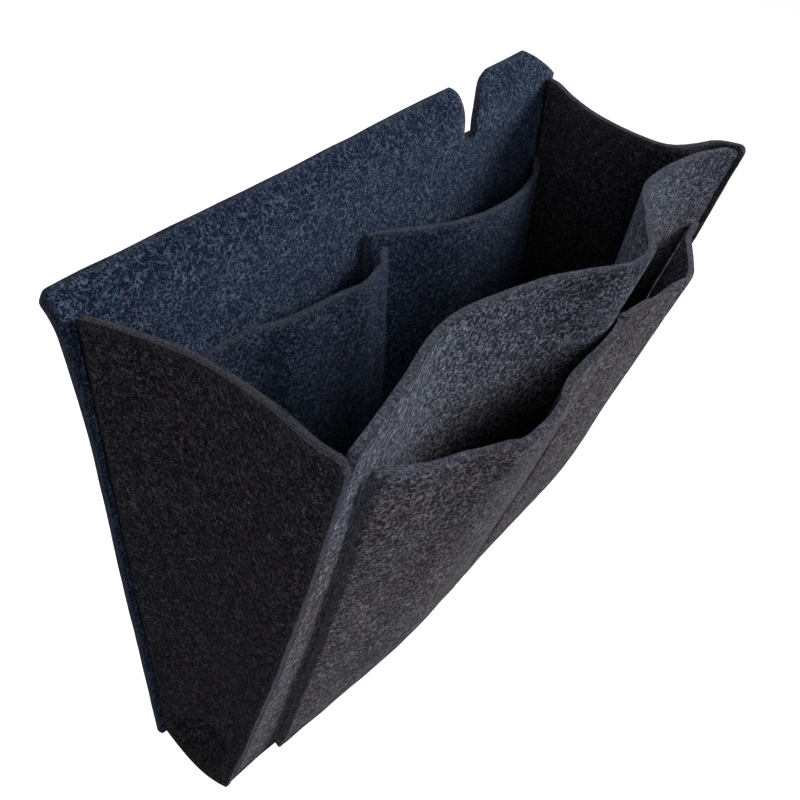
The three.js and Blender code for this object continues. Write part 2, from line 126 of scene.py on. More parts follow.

# Cut edges: step that finds the way out of the felt, bulge of the middle in edge roundings, and
# fuzz on the rings from one face to the other and on the rims of the faces. The fuzz is pale cut
# fibres made lighter still as a painted highlight along the edges.
EDGE_PROBE = 0.0004
EDGE_BULGE = 1.12
EDGE_FUZZ_HIGHLIGHT = (1.0, 0.85, 0.7, 0.85, 1.0)
RIM_FUZZ_HIGHLIGHT = 0.5

# Seams: half the width of their dip, its share on the rear face, and where they end. The flap
# has two, at these distances below its upper edge.
DIP_HALF_WIDTH = 0.0011
REAR_DIP_SHARE = 0.6
SEAM_END_SHARE = 0.004
FLAP_SEAMS = (0.0035, 0.0085)
FLAP_SEAM_END = 0.004

# Stitches: cells round and along a thread, how far its ends sink and its middle stands in
# threads, and the thickness of its ends
THREAD_SIDES = 6
THREAD_STEPS = 6
THREAD_SINK = -0.9
THREAD_RISE = 0.42
THREAD_END_SHARE = 0.55

# Kinds of felt: cloth, share of fibres, warmth, the level it warms below, and sheen. The warmth is
# painted warm light: below its level it stands for warm bounce, with the felt cooler above it near the
# rims. The gusset kind is used for the gussets and bottom, and its level lies above them, so there the
# warmth is a painted warm cast of their shade all over.
FELT_KINDS = {
    "lining": ("lining", 0.72, 0.1, 1.0, 0.12),
    "front": ("outside", 0.95, 0.85, 0.0, 0.12),
    "flap": ("outside", 0.8, 0.0, 1.0, 0.12),
    # The gusset felt: warm all over, a painted warm cast of the shade on the gussets and bottom
    "gusset": ("outside", 0.3, 0.9, 1.0, 0.03),
    "pocket": ("outside", 0.95, 1.0, 0.02, 0.12),
}

# Layers of curled fibres: how each is turned, its cells per millimetre, and its tint
FIBRE_LAYERS = (
    ((0.3, 0.5, 0.2), 0.26, (0.9, 1.0, 1.1, 1)),
    ((1.4, 0.2, 1.1), 0.33, (1.08, 0.97, 0.96, 1)),
    ((0.7, 1.3, 2.2), 0.43, (1.0, 1.0, 1.0, 1)),
)

# Other parts of the felt's colour, per millimetre or as shares, and the height of the warm fade. The
# warm tint and its fade are painted warm light.
CURL_SCALE = 0.5
CURL_REACH = (4.0, 4.0, 4.0)
GRAIN_SCALE = 1.9
SPECK_SHARE = 0.2
COOL_TINT = (0.9, 1.02, 1.0, 1)
ROSY_TINT = (1.09, 0.96, 1.03, 1)
WARM_LIGHT_TINT = (1.17, 0.92, 0.75, 1)
WARM_LIGHT_FADE = 0.04

# Lamps: name, setting of its power, size and place. All aim at the middle of the pouch.
LAMPS = (
    ("key_lamp", "key_power", 0.55, (0.64, -0.66, 0.4)),
    ("fill_lamp", "fill_power", 0.5, (-0.7, -0.6, 0.3)),
    ("rear_lamp", "rear_power", 1.2, (0.5, 1.8, 0.7)),
)
LAMP_AIM = (0, -0.05, -0.08)
SKY_COLOUR = (0.92, 0.95, 1, 1)
BOUNCE_COLOUR = (0.06, 0.06, 0.06, 1)
SENSOR_WIDTH = 36


def length(name, description, metres):
    """A size of the caddy, in metres."""
    return bpy.props.FloatProperty(
        name=name, description=description, default=metres, unit="LENGTH", subtype="DISTANCE", precision=4)


def tint(name, description, red, green, blue):
    """A colour, given as it looks on the screen, from 0 to 255."""
    linear = [((c / 255 + 0.055) / 1.055) ** 2.4 if c > 10 else c / 255 / 12.92 for c in (red, green, blue)]
    return bpy.props.FloatVectorProperty(
        name=name, description=description, default=(*linear, 1.0), size=4, subtype="COLOR", min=0, max=1)


def amount(name, description, value, low=0.0, high=1.0):
    """A plain number or share."""
    return bpy.props.FloatProperty(name=name, description=description, default=value, min=low, max=high)


class CaddyPouchSizes(bpy.types.PropertyGroup):
    """Sizes of the pouch's panels"""

    felt: length("Felt", "Thickness of every panel", 0.003)
    seam_gap: length("Seam gap", "Clearance between faces that are sewn together", 0.0003)
    width: length("Width", "Width across the gussets", 0.3)
    height: length("Height", "Mouth line down to the panels' lower edges", 0.24)
    mouth_above_fold: length("Mouth above fold", "Mouth line above the flap's fold line", 0.024)
    reach_left: length("Reach left", "Mouth's depth at the left gusset", 0.1145)
    reach_right: length("Reach right", "Mouth's depth at the right gusset", 0.1075)
    reach_foot: length("Reach at foot", "Pouch's depth at its foot", 0.0433)
    rise_left: length("Rim rise left", "Front rim above the mouth line at the left", 0.0083)
    drop_right: length("Rim drop right", "Front rim below the mouth line at the right", 0.0055)
    crown: length("Front crown", "Fullness of the front between rim and foot", 0.0025)
    wave: length("Rim wave", "Depth of the wave in the front rim", 0.0175)
    foot_bow: length("Foot bow", "How far the foot bows out between the gussets", 0.012)
    bend_radius: length("Strip bend", "Radius round which the upper strip leans back", 0.019)
    bend_angle: bpy.props.FloatProperty(
        name="Strip lean", description="How far the upper strip leans back", default=math.radians(58),
        subtype="ANGLE")
    bend_drop: length("Bend drop", "The bend starts this far below the mouth line", 0.008)
    strip_rise: length("Strip rise", "The strip stands this much taller at its right end", 0.007)
    strip_flare: length("Strip flare", "Each end of the strip runs out past the pouch", 0.003)
    strip_corner_width: length("Strip corner width", "Rounding of the strip's right corner, across", 0.022)
    strip_corner_height: length("Strip corner height", "Rounding of the strip's right corner, down", 0.0145)
    flare_height: length("Flare height", "Height over which the back widens to the strip", 0.05)
    notch_from_left: length("Notch place", "Cable notch's left side from the left edge", 0.222)
    notch_width: length("Notch width", "Width of the cable notch", 0.009)
    notch_drop: length("Notch drop", "Notch's floor below the mouth line", 0.013)
    notch_mouth: length("Notch mouth radius", "Rounding at the left of the notch's mouth", 0.004)
    notch_flare: length("Notch flare radius", "Flare at the right of the notch's mouth", 0.02)
    notch_floor: length("Notch floor radius", "Rounding at the notch's floor", 0.003)
    gusset_inset: length("Gusset inset", "Gusset's face from the back panel's edge", 0.0025)
    left_bow: length("Left bow", "Inward bow of the left gusset at the mouth", 0.008)
    right_bow: length("Right bow", "Inward bow of the right gusset at the mouth", 0.024)
    left_margin: length("Left margin", "Left gusset's raw margin past the front panel", 0.0006)
    right_margin: length("Right margin", "Right gusset's raw margin past the front panel", 0.002)
    right_dip: length("Right rim dip", "Sag of the right gusset's rim", 0.003)
    dent: length("Dent", "Depth of the dent near each gusset's foot", 0.012)
    dent_height: length("Dent height", "Top of the arch above the foot", 0.046)
    bottom_lift: length("Bottom lift", "Bottom strip's underside above the lower edges", 0.002)
    bottom_sag: length("Bottom sag", "How far the bottom strip sags", 0.008)
    bottom_gap: length("Bottom gap", "Clearance of the bottom strip's ends", 0.0008)


class CaddyPocketSizes(bpy.types.PropertyGroup):
    """Sizes of the inner and front pockets and of the flap"""

    inner_right_from: length("Right pocket from", "Left end of the wide inner pocket", 0.146)
    inner_right_inset: length("Right pocket inset", "Its right end from the right edge", 0.0075)
    inner_right_rim_a: length("Right pocket rim, left", "Rim below the mouth line", 0.03)
    inner_right_rim_b: length("Right pocket rim, right", "Rim below the mouth line", 0.04)
    inner_right_bulge: length("Right pocket bulge", "How far it stands off the back", 0.024)
    inner_left_from: length("Left pocket from", "Left end of the narrow inner pocket", 0.01)
    inner_left_to: length("Left pocket to", "Right end of the narrow inner pocket", 0.1545)
    inner_left_rim_a: length("Left pocket rim, left", "Rim below the mouth line", 0.042)
    inner_left_rim_b: length("Left pocket rim, right", "Rim below the mouth line", 0.035)
    inner_left_bulge: length("Left pocket bulge", "How far it stands off the back", 0.018)
    lap_run: length("Lap run", "Width over which the left pocket climbs onto the right one", 0.008)
    inner_foot: length("Inner foot", "Inner pockets' lower edge above the panels' lower edges", 0.037)
    front_from: length("Front pockets from", "Left edge of the front pockets", 0.02)
    front_split: length("Front split", "Seam between the front pockets", 0.1695)
    front_inset: length("Front inset", "Their right end from the right edge", 0.008)
    front_taper: length("Front taper", "Each outer edge comes in by this at the foot", 0.01)
    front_lift: length("Front lift", "Front pockets' lower edge above the panel's", 0.001)
    large_rim: length("Large rim", "Large pocket's rim below the mouth line", 0.033)
    large_bulge: length("Large bulge", "How far the large pocket stands off", 0.032)
    small_rim: length("Small rim", "Small pocket's rim below the mouth line", 0.045)
    small_bulge: length("Small bulge", "How far the small pocket stands off", 0.027)
    flap_width: length("Flap width", "Width of the mattress flap", 0.28)
    flap_length: length("Flap length", "Flap below its fold line", 0.17)
    flap_corner: length("Flap corner", "Radius of the flap's lower corners", 0.02)
    flap_margin: length("Flap margin", "Sewn margin above the fold line", 0.012)


class CaddyFeltCut(bpy.types.PropertyGroup):
    """How finely the felt is cut and sewn"""

    pitch: length("Mesh pitch", "Size of the mesh cells", 0.0035)
    edge_round: length("Edge rounding", "Radius of the raw cut edges", 0.0006)
    edge_rough: length("Edge roughness", "Wander of the raw cut edges", 0.0003)
    sag_slow: length("Slow sag", "Slow unevenness shared by neighbouring panels", 0.0005)
    sag_fast: length("Fine sag", "Fine unevenness shared by neighbouring panels", 0.00014)
    seam_inset: length("Seam inset", "Seams run this far inside the cut edges", 0.0036)
    seam_dip: length("Seam dip", "How deep the thread pulls the felt in", 0.0005)
    stitch_pitch: length("Stitch pitch", "From one stitch to the next", 0.0036)
    stitch_share: amount("Stitch share", "Share of the pitch that shows as thread", 0.74)
    thread: length("Thread", "Diameter of the sewing thread", 0.00055)


class CaddyFeltLook(bpy.types.PropertyGroup):
    """Colours of the felt and thread"""

    outside: tint("Outside felt", "Charcoal felt of the front, pockets, gussets and flap", 26, 29, 37)
    outside_fibre: tint("Outside fibres", "Pale fibres in the charcoal felt", 206, 215, 239)
    lining: tint("Lining felt", "Navy grey felt of the back and inner pockets", 21, 36, 68)
    lining_fibre: tint("Lining fibres", "Pale fibres in the lining felt", 150, 174, 206)
    # Raw edge colour: pale fuzz of the cut fibres, made lighter as a painted highlight
    edge: tint("Raw edge", "Fuzz along the raw cut edges", 122, 124, 138)
    thread: tint("Thread", "Sewing thread", 30, 31, 36)
    floor: tint("Floor", "Floor under the hanging caddy", 236, 236, 236)


class CaddyStage(bpy.types.PropertyGroup):
    """Camera, lamps and floor"""

    camera_place: bpy.props.FloatVectorProperty(
        name="Camera place", description="Camera's position", default=(-0.27606, -0.22275, 0.18919),
        subtype="TRANSLATION")
    camera_turn: bpy.props.FloatVectorProperty(
        name="Camera turn", description="Camera's rotation",
        default=tuple(math.radians(a) for a in (50.5618, -2.4909, -52.4146)), subtype="EULER")
    lens: bpy.props.FloatProperty(name="Lens", description="Focal length in mm", default=40.702)
    floor_drop: length("Floor drop", "Floor below the fold line, as below a bed's edge", 0.46)
    floor_size: length("Floor size", "Width of the floor", 24.0)
    key_power: bpy.props.FloatProperty(name="Key lamp", description="Watts", default=7.3)
    fill_power: bpy.props.FloatProperty(name="Fill lamp", description="Watts", default=0.74)
    rear_power: bpy.props.FloatProperty(name="Rear lamp", description="Watts", default=16.0)
    floor_glow: amount("Floor glow", "How much white the camera sees on the floor besides its light", 0.88)
    sky_level: amount("Sky level", "Strength of the even light", 0.055, 0, 2)


def lerp(a, b, share):
    return a + (b - a) * share


def smooth(value, start, end):
    t = np.clip((value - start) / (end - start), 0, 1)
    return t * t * (3 - 2 * t)


def share_curve(table):
    """A smooth curve through a short table of (share along, share of the height) pairs."""
    along, height = (np.array(column, float) for column in zip(*table))
    last = len(along) - 1
    before = np.maximum(np.arange(len(along)) - 1, 0)
    after = np.minimum(np.arange(len(along)) + 1, last)
    slope = (height[after] - height[before]) / (along[after] - along[before])

    def at(share):
        i = np.clip(np.searchsorted(along, share) - 1, 0, last - 1)
        span = along[i + 1] - along[i]
        t = np.clip((share - along[i]) / span, 0, 1)
        level = lerp(height[i], height[i + 1], t * t * (3 - 2 * t))
        return level + slope[i] * span * t * (1 - t) ** 2 + slope[i + 1] * span * t * t * (t - 1)

    return at


def stack(x, y, z):
    return np.stack(np.broadcast_arrays(x, y, z), -1)


def slopes(face, across, down):
    """Unit normal of a face, towards its thickness, and its slopes along both shares."""
    a1 = np.minimum(across + SLOPE_STEP_SHARE, 1)
    d1 = np.minimum(down + SLOPE_STEP_SHARE, 1)
    a0 = np.maximum(a1 - 2 * SLOPE_STEP_SHARE, 0)
    d0 = np.maximum(d1 - 2 * SLOPE_STEP_SHARE, 0)
    along = (face(a1, down) - face(a0, down)) / (a1 - a0)[..., None]
    fall = (face(across, d1) - face(across, d0)) / (d1 - d0)[..., None]
    normal = np.cross(along, fall)
    return normal / np.linalg.norm(normal, axis=-1, keepdims=True), along, fall


def thickened(face, axis=None):
    """The points at a depth behind a face: along its normal, or straight along X, Y or Z."""

    def at(across, down, depth):
        point = face(across, down)
        normal = slopes(face, across, down)[0]
        if axis is None:
            return point + normal * np.asarray(depth)[..., None]
        point[..., axis] += depth / normal[..., axis]
        return point

    return at


class Pouch:
    """The faces of the pouch's panels, as functions of shares across and down."""

    def __init__(self, sizes, pockets):
        self.s, self.p = sizes, pockets
        self.half = sizes.width / 2
        self.back = -sizes.felt
        self.mouth = sizes.mouth_above_fold
        self.foot = self.mouth - sizes.height
        self.front_half = self.half - sizes.felt - sizes.seam_gap
        self.underside = self.foot + sizes.bottom_lift
        self.inner_foot = self.foot + pockets.inner_foot
        self.rim_wave = share_curve(RIM_WAVE_SHARES)
        self.bend_length = sizes.bend_radius * sizes.bend_angle
        self.back_length = self.bend_length + sizes.height - sizes.bend_drop
        self.dent_arch = share_curve(DENT_ARCH_SHARES)
        self.dent_across = share_curve(DENT_ACROSS_SHARES)
        self.dent_down = share_curve(DENT_DOWN_SHARES)
        self.inner_fade = share_curve(INNER_FADE_SHARES)
        self.inner_right_curve = share_curve(INNER_RIGHT_SHARES)
        self.inner_left_curve = share_curve(INNER_LEFT_SHARES)

    def front_rim(self, across):
        s = self.s
        x = lerp(-self.front_half, self.front_half, across)
        y = self.back - lerp(s.reach_left, s.reach_right, across)
        return x, y, self.mouth + lerp(s.rise_left, -s.drop_right, across)

    def front(self, across, down):
        s = self.s
        x, y, z = self.front_rim(across)
        y = lerp(y, self.back - s.reach_foot, down)
        arch = np.clip(np.sin(np.pi * np.clip(across, 0, 1)), 0, 1) ** 1.5
        y = y + s.wave * self.rim_wave(across) * np.clip(1 - down, 0, 1) ** 1.5
        y = y - s.crown * np.sin(np.pi * down) - s.foot_bow * arch * down
        return stack(x, y, lerp(z, self.foot, down))

    def front_down_at(self, across, level):
        rim = self.front_rim(across)[2]
        return np.clip((rim - level) / (rim - self.foot), 0, 1)

    def front_y_at(self, across, level, distance):
        across = np.asarray(across, float) + np.zeros_like(level)
        return thickened(self.front, 1)(across, self.front_down_at(across, level), distance)[..., 1]

    def back_half_width(self, run):
        s = self.s
        return self.half + s.strip_flare * (1 - smooth(run, 0, self.bend_length + s.flare_height))

    def back_face(self, x, run):
        """Back panel's inner face, by the place across and the run down along the felt."""
        s = self.s
        rise = s.strip_rise * np.clip(x / s.width + 0.5, 0, 1)
        risen = rise * (1 - smooth(run, self.bend_length, self.bend_length + s.flare_height))
        angle = np.clip((self.bend_length - run) / s.bend_radius, 0, None)
        bend_level = self.mouth - s.bend_drop
        below = np.clip(run - self.bend_length, 0, None)
        y = self.back + s.bend_radius * (1 - np.cos(angle))
        z = bend_level + s.bend_radius * np.sin(angle) - below + risen
        return stack(x, y, z)

    def run_at(self, x, level):
        """The run down along the back panel's felt at which it has a level."""
        s = self.s
        rise = s.strip_rise * np.clip(x / s.width + 0.5, 0, 1)
        above = (level - self.mouth + s.bend_drop - rise) / s.bend_radius
        if above > 0:
            return self.bend_length - s.bend_radius * math.asin(min(above, math.sin(s.bend_angle)))
        run = self.bend_length
        for _ in range(4):
            risen = rise * (1 - smooth(run, self.bend_length, self.bend_length + s.flare_height))
            run = self.bend_length + self.mouth - s.bend_drop + risen - level
        return run

    def bottom_level(self, deep):
        return self.underside - self.s.bottom_sag * np.sin(np.pi * deep)

    def gusset(self, across, dip, proud, bow, bow_curve):
        """One gusset's outer face as (inset, y, level), by the shares deep and down."""
        s = self.s

        def at(deep, down):
            rim = lerp(self.mouth, self.front_rim(across)[2], deep) - dip * np.sin(np.pi * deep * deep)
            arch = self.foot + s.dent_height * self.dent_arch(deep)
            under = np.clip((down - DENT_ROW_SHARE) / (1 - DENT_ROW_SHARE), 0, 1)
            level = np.where(
                down < DENT_ROW_SHARE, lerp(rim, arch, down / DENT_ROW_SHARE),
                lerp(arch, self.bottom_level(deep), under))
            back = self.back - s.seam_gap
            y = lerp(back, self.front_y_at(across, level, 0.0) - proud, deep)
            share = np.clip((back - y) / (back - self.front_y_at(across, level, s.felt)), 0, 1)
            fallen = np.clip((self.mouth - level) / s.height, 0, 1)
            inset = s.gusset_inset * (1 - share) + bow * bow_curve(share) * (1 - fallen)
            return inset + s.dent * self.dent_across(share) * self.dent_down(under), y, level

        return at

    def left_gusset(self, deep, down):
        s = self.s
        inset, y, z = self.gusset(0, 0, s.left_margin, s.left_bow, share_curve(LEFT_BOW_SHARES))(deep, down)
        return stack(inset - self.half, y, z)

    def right_gusset(self, deep, down):
        s = self.s
        inset, y, z = self.gusset(
            1, s.right_dip, s.right_margin, s.right_bow, share_curve(RIGHT_BOW_SHARES))(deep, down)
        return stack(self.half - s.felt - inset, y, z)

    def bottom(self, across, back):
        s = self.s
        deep = 1 - back
        one = np.ones_like(deep)
        left = self.left_gusset(deep, one)[..., 0] + s.felt + s.bottom_gap
        right = self.right_gusset(deep, one)[..., 0] - s.bottom_gap
        x = lerp(left, right, across)
        share = np.clip((x + self.front_half) / (2 * self.front_half), 0, 1)
        front = self.front_y_at(share, self.underside + np.zeros_like(share), s.felt) + s.seam_gap
        return stack(x, lerp(self.back - s.seam_gap, front, deep), self.bottom_level(deep))

    def inner_right_rim(self, share):
        p = self.p
        return self.mouth - lerp(p.inner_right_rim_a, p.inner_right_rim_b, share)

    def inner_right_share(self, x):
        p = self.p
        start, end = p.inner_right_from - self.half, self.half - p.inner_right_inset
        return np.clip((x - start) / (end - start), 0, 1)

    def inner_right_stand_off(self, x, level):
        share = self.inner_right_share(x)
        rim = self.inner_right_rim(share)
        fallen = np.clip((rim - level) / (rim - self.inner_foot), 0, 1)
        return self.p.inner_right_bulge * self.inner_right_curve(share) * self.inner_fade(fallen)

    def inner_right(self, across, down):
        s, p = self.s, self.p
        x = lerp(p.inner_right_from - self.half, self.half - p.inner_right_inset, across)
        level = lerp(self.inner_right_rim(self.inner_right_share(x)), self.inner_foot, down)
        return stack(x, self.back - s.seam_gap - s.felt - self.inner_right_stand_off(x, level), level)

    def inner_left(self, across, down):
        s, p = self.s, self.p
        x = lerp(p.inner_left_from, p.inner_left_to, across) - self.half
        level = lerp(self.mouth - lerp(p.inner_left_rim_a, p.inner_left_rim_b, across), self.inner_foot, down)
        lap_start = p.inner_right_from - self.half - s.felt
        lap = smooth(x, lap_start - p.lap_run, lap_start)
        lap = lap * (self.inner_right_stand_off(x, level) + s.felt + s.seam_gap)
        off = p.inner_left_bulge * self.inner_left_curve(across) * self.inner_fade(down) + lap
        return stack(x, self.back - s.seam_gap - s.felt - off, level)

    def front_pocket(self, start, end, tapers, rim, rim_curve, bulge, bulge_curve, fade_curve):
        s, p = self.s, self.p

        def at(across, down):
            x = lerp(start + tapers[0] * down, end - tapers[1] * down, across) - self.half
            share = np.clip((x + self.front_half) / (2 * self.front_half), 0, 1)
            rim_down = self.front_down_at(share, self.mouth - rim * rim_curve(across))
            foot_down = self.front_down_at(share, self.foot + p.front_lift + np.zeros_like(share))
            off = s.seam_gap + s.felt + bulge * bulge_curve(across) * fade_curve(down)
            return thickened(self.front)(share, lerp(rim_down, foot_down, down), -off)

        return at

    def large_pocket(self):
        s, p = self.s, self.p
        return self.front_pocket(
            p.front_from, p.front_split - s.seam_gap / 2, (p.front_taper, 0), p.large_rim,
            share_curve(LARGE_RIM_SHARES), p.large_bulge, share_curve(LARGE_BULGE_SHARES),
            share_curve(LARGE_FADE_SHARES))

    def small_pocket(self):
        s, p = self.s, self.p
        return self.front_pocket(
            p.front_split + s.seam_gap / 2, s.width - p.front_inset, (0, p.front_taper), p.small_rim,
            share_curve(SMALL_RIM_SHARES), p.small_bulge, share_curve(SMALL_BULGE_SHARES),
            share_curve(SMALL_FADE_SHARES))


def pouch():
    scene = bpy.context.scene
    return Pouch(scene.caddy_pouch, scene.caddy_pockets)


def settle(points, cut):
    """Lets points sag a little. Neighbouring panels share one field, so they stay apart."""
    moved = points.copy()
    for level, waves in ((cut.sag_slow, SLOW_WAVES), (cut.sag_fast, FINE_WAVES)):
        for number, (kx, ky, kz, phase) in enumerate(waves):
            swing = level / 2 * np.sin(points @ np.array([kx, ky, kz], float) + phase)
            moved[:, number % 3] += SAG_SIDEWAYS_SHARE * swing
            moved[:, 1] += SAG_FORWARD_SHARE * swing
    return moved


def wander(points, seed):
    """A small uneven number for each point, from -1 to 1, for the raw edges."""
    total = np.zeros(len(points))
    for number, wavelength in enumerate(FRAY_WAVELENGTHS):
        turn = 1.7 * number + 0.9 * seed
        way = np.array([math.cos(turn), math.sin(turn * 1.3), math.cos(turn * 0.7 + 1)])
        total += np.sin(points @ way * (2 * math.pi / wavelength) + 2.1 * turn)
    return total / len(FRAY_WAVELENGTHS)


def corner_points(corner, before, after, radius):
    """An arc that rounds one corner of an outline."""
    corner, before, after = (np.array(v, float) for v in (corner, before, after))
    ways = before - corner, after - corner
    start, end = (corner + way / np.linalg.norm(way) * radius for way in ways)
    centre = start + end - corner
    angles = np.linspace(0, math.pi / 2, CORNER_STEPS + 1)
    return [tuple(centre + (start - centre) * math.cos(a) + (end - centre) * math.sin(a)) for a in angles]


def rounded_outline(corners):
    """An outline from (u, v, radius) corners."""
    points = []
    for i, (u, v, radius) in enumerate(corners):
        before, after = corners[i - 1][:2], corners[(i + 1) % len(corners)][:2]
        points += corner_points((u, v), before, after, radius) if radius else [(u, v)]
    return points


def cut_grid(outline, pitch, lines):
    """Fills a flat outline with cells: its points, its cells and its rim in order."""
    bm = bmesh.new()
    bm.faces.new([bm.verts.new((u, v, 0)) for u, v in outline])
    low, high = np.min(outline, 0), np.max(outline, 0)
    for axis in (0, 1):
        count = max(2, round((high[axis] - low[axis]) / pitch))
        places = list(np.linspace(low[axis], high[axis], count + 1)[1:-1])
        wanted = [place for which, place in lines if which == axis]
        places = [q for q in places if all(abs(q - w) > pitch * 0.45 for w in wanted)] + wanted
        for place in places:
            origin, way = [0, 0, 0], [0, 0, 0]
            origin[axis], way[axis] = place, 1
            bmesh.ops.bisect_plane(
                bm, geom=bm.verts[:] + bm.edges[:] + bm.faces[:], dist=pitch * 0.02, plane_co=origin,
                plane_no=way)
    bmesh.ops.remove_doubles(bm, verts=bm.verts[:], dist=pitch * 0.04)
    bm.normal_update()
    if sum(face.normal.z for face in bm.faces) < 0:
        bmesh.ops.reverse_faces(bm, faces=bm.faces[:])
    bm.verts.index_update()
    points = np.array([v.co[:2] for v in bm.verts])
    cells = [[v.index for v in face.verts] for face in bm.faces]
    following = {}
    for face in bm.faces:
        for loop in face.loops:
            if len(loop.edge.link_faces) == 1:
                following[loop.vert.index] = loop.link_loop_next.vert.index
    bm.free()
    rim = [next(iter(following))]
    while following[rim[-1]] != rim[0]:
        rim.append(following[rim[-1]])
    return points, cells, rim


def way_out(place, rim_points, felt):
    """The rim's points at half the felt's thickness, and the way out of the felt at each."""
    way = np.roll(rim_points, -1, 0) - np.roll(rim_points, 1, 0)
    outward = np.stack([way[:, 1], -way[:, 0]], -1)
    outward /= np.linalg.norm(outward, axis=1, keepdims=True)
    middle = np.full(len(rim_points), felt / 2)
    base = place(*rim_points.T, middle)
    ahead = place(*(rim_points + outward * EDGE_PROBE).T, middle) - base
    behind = base - place(*(rim_points - outward * EDGE_PROBE).T, middle)
    out = np.where(np.linalg.norm(ahead, axis=1, keepdims=True) > EDGE_PROBE * 0.2, ahead, behind)
    return base, out / np.linalg.norm(out, axis=1, keepdims=True)


def edge_rings(radius, felt):
    """How far out and how deep the rings of points round a cut edge lie."""
    upper = [(radius * math.sin(a), radius * (1 - math.cos(a))) for a in (math.pi / 4, math.pi / 2)]
    lower = [(reach, felt - depth) for reach, depth in reversed(upper)]
    return [*upper, (radius * EDGE_BULGE, felt / 2), *lower]


def felt_panel(name, outline, place, seams, seed, lines):
    """A cut piece of felt: an outline laid on a curved face, with its thickness and raw edges.

    place(u, v, depth) gives the points behind the face, and seams(u, v) is how far the
    thread pulls the felt in there, as a share."""
    scene = bpy.context.scene
    cut, felt = scene.caddy_cut, scene.caddy_pouch.felt
    points, cells, rim = cut_grid(outline, cut.pitch, lines)
    pulled = seams(*points.T) if seams else np.zeros(len(points))
    front = place(*points.T, cut.seam_dip * pulled)
    back = place(*points.T, felt - cut.seam_dip * pulled * REAR_DIP_SHARE)
    layers = [front, back]
    base, out = way_out(place, points[rim], felt)
    rough = cut.edge_rough * wander(base, seed)
    for number, (reach, depth) in enumerate(edge_rings(cut.edge_round, felt)):
        ring = place(*points[rim].T, np.full(len(rim), depth))
        fray = cut.edge_rough * FRAY_RING_SHARE * wander(base, seed + 3 + number)
        layers.append(ring + out * (reach - cut.edge_round + rough + fray)[:, None])
    all_points = settle(np.concatenate(layers), cut)
    count, edge = len(points), len(rim)
    faces = [list(cell) for cell in cells] + [[count + i for i in reversed(cell)] for cell in cells]
    loops = [rim, *np.arange(2 * count, len(all_points)).reshape(-1, edge).tolist(), [count + i for i in rim]]
    for upper, lower in zip(loops, loops[1:]):
        for i in range(edge):
            j = (i + 1) % edge
            faces.append([upper[j], upper[i], lower[i], lower[j]])
    mesh = bpy.data.meshes.new(name)
    mesh.from_pydata(all_points.tolist(), [], faces)
    mesh.update()
    bm = bmesh.new()
    bm.from_mesh(mesh)
    bmesh.ops.recalc_face_normals(bm, faces=bm.faces[:])
    bm.to_mesh(mesh)
    bm.free()
    # Share of the raw edge colour at each point: pale fuzz and a painted highlight along the cut edges
    raw = np.zeros(len(all_points), np.float32)
    raw[2 * count:] = np.repeat(EDGE_FUZZ_HIGHLIGHT, edge)
    raw[rim] = raw[[count + i for i in rim]] = RIM_FUZZ_HIGHLIGHT
    mesh.attributes.new("raw_edge", "FLOAT", "POINT").data.foreach_set("value", raw)
    mesh.shade_smooth()
    piece = bpy.data.objects.new(name, mesh)
    scene.collection.objects.link(piece)
    return piece


def sheet_outline(wide, high, radii):
    """A rectangle's outline with its four corner radii: upper left, upper right, lower right, lower left."""
    return rounded_outline([
        (0, 0, radii[0]), (wide, 0, radii[1]), (wide, high, radii[2]), (0, high, radii[3])])


def dip_at(distance):
    """How far the thread pulls the felt in at a distance from the seam, as a share."""
    return np.exp(-((distance / DIP_HALF_WIDTH) ** 2))


def seam_dips(wide, high, sides):
    """How far the thread pulls the felt in, near the sewn sides L, R and B."""
    cut = bpy.context.scene.caddy_cut

    def at(u, v):
        total = np.zeros(len(u))
        for side, distance in (("L", u), ("R", wide - u), ("B", high - v)):
            if side in sides:
                total = np.maximum(total, dip_at(distance - cut.seam_inset))
        return total

    return at


def share_panel(name, face, wide, high, axis, radii, sewn, seed):
    """A felt panel on a face that takes shares across and down, sewn at some of its sides."""
    inset = bpy.context.scene.caddy_cut.seam_inset
    behind = thickened(face, axis)
    seam_lines = {"L": (0, inset), "R": (0, wide - inset), "B": (1, high - inset)}
    lines = [seam_lines[side] for side in sewn]

    def laid(u, v, depth):
        return behind(np.clip(u / wide, 0, 1), np.clip(v / high, 0, 1), depth)

    return felt_panel(name, sheet_outline(wide, high, radii), laid, seam_dips(wide, high, sewn), seed, lines)


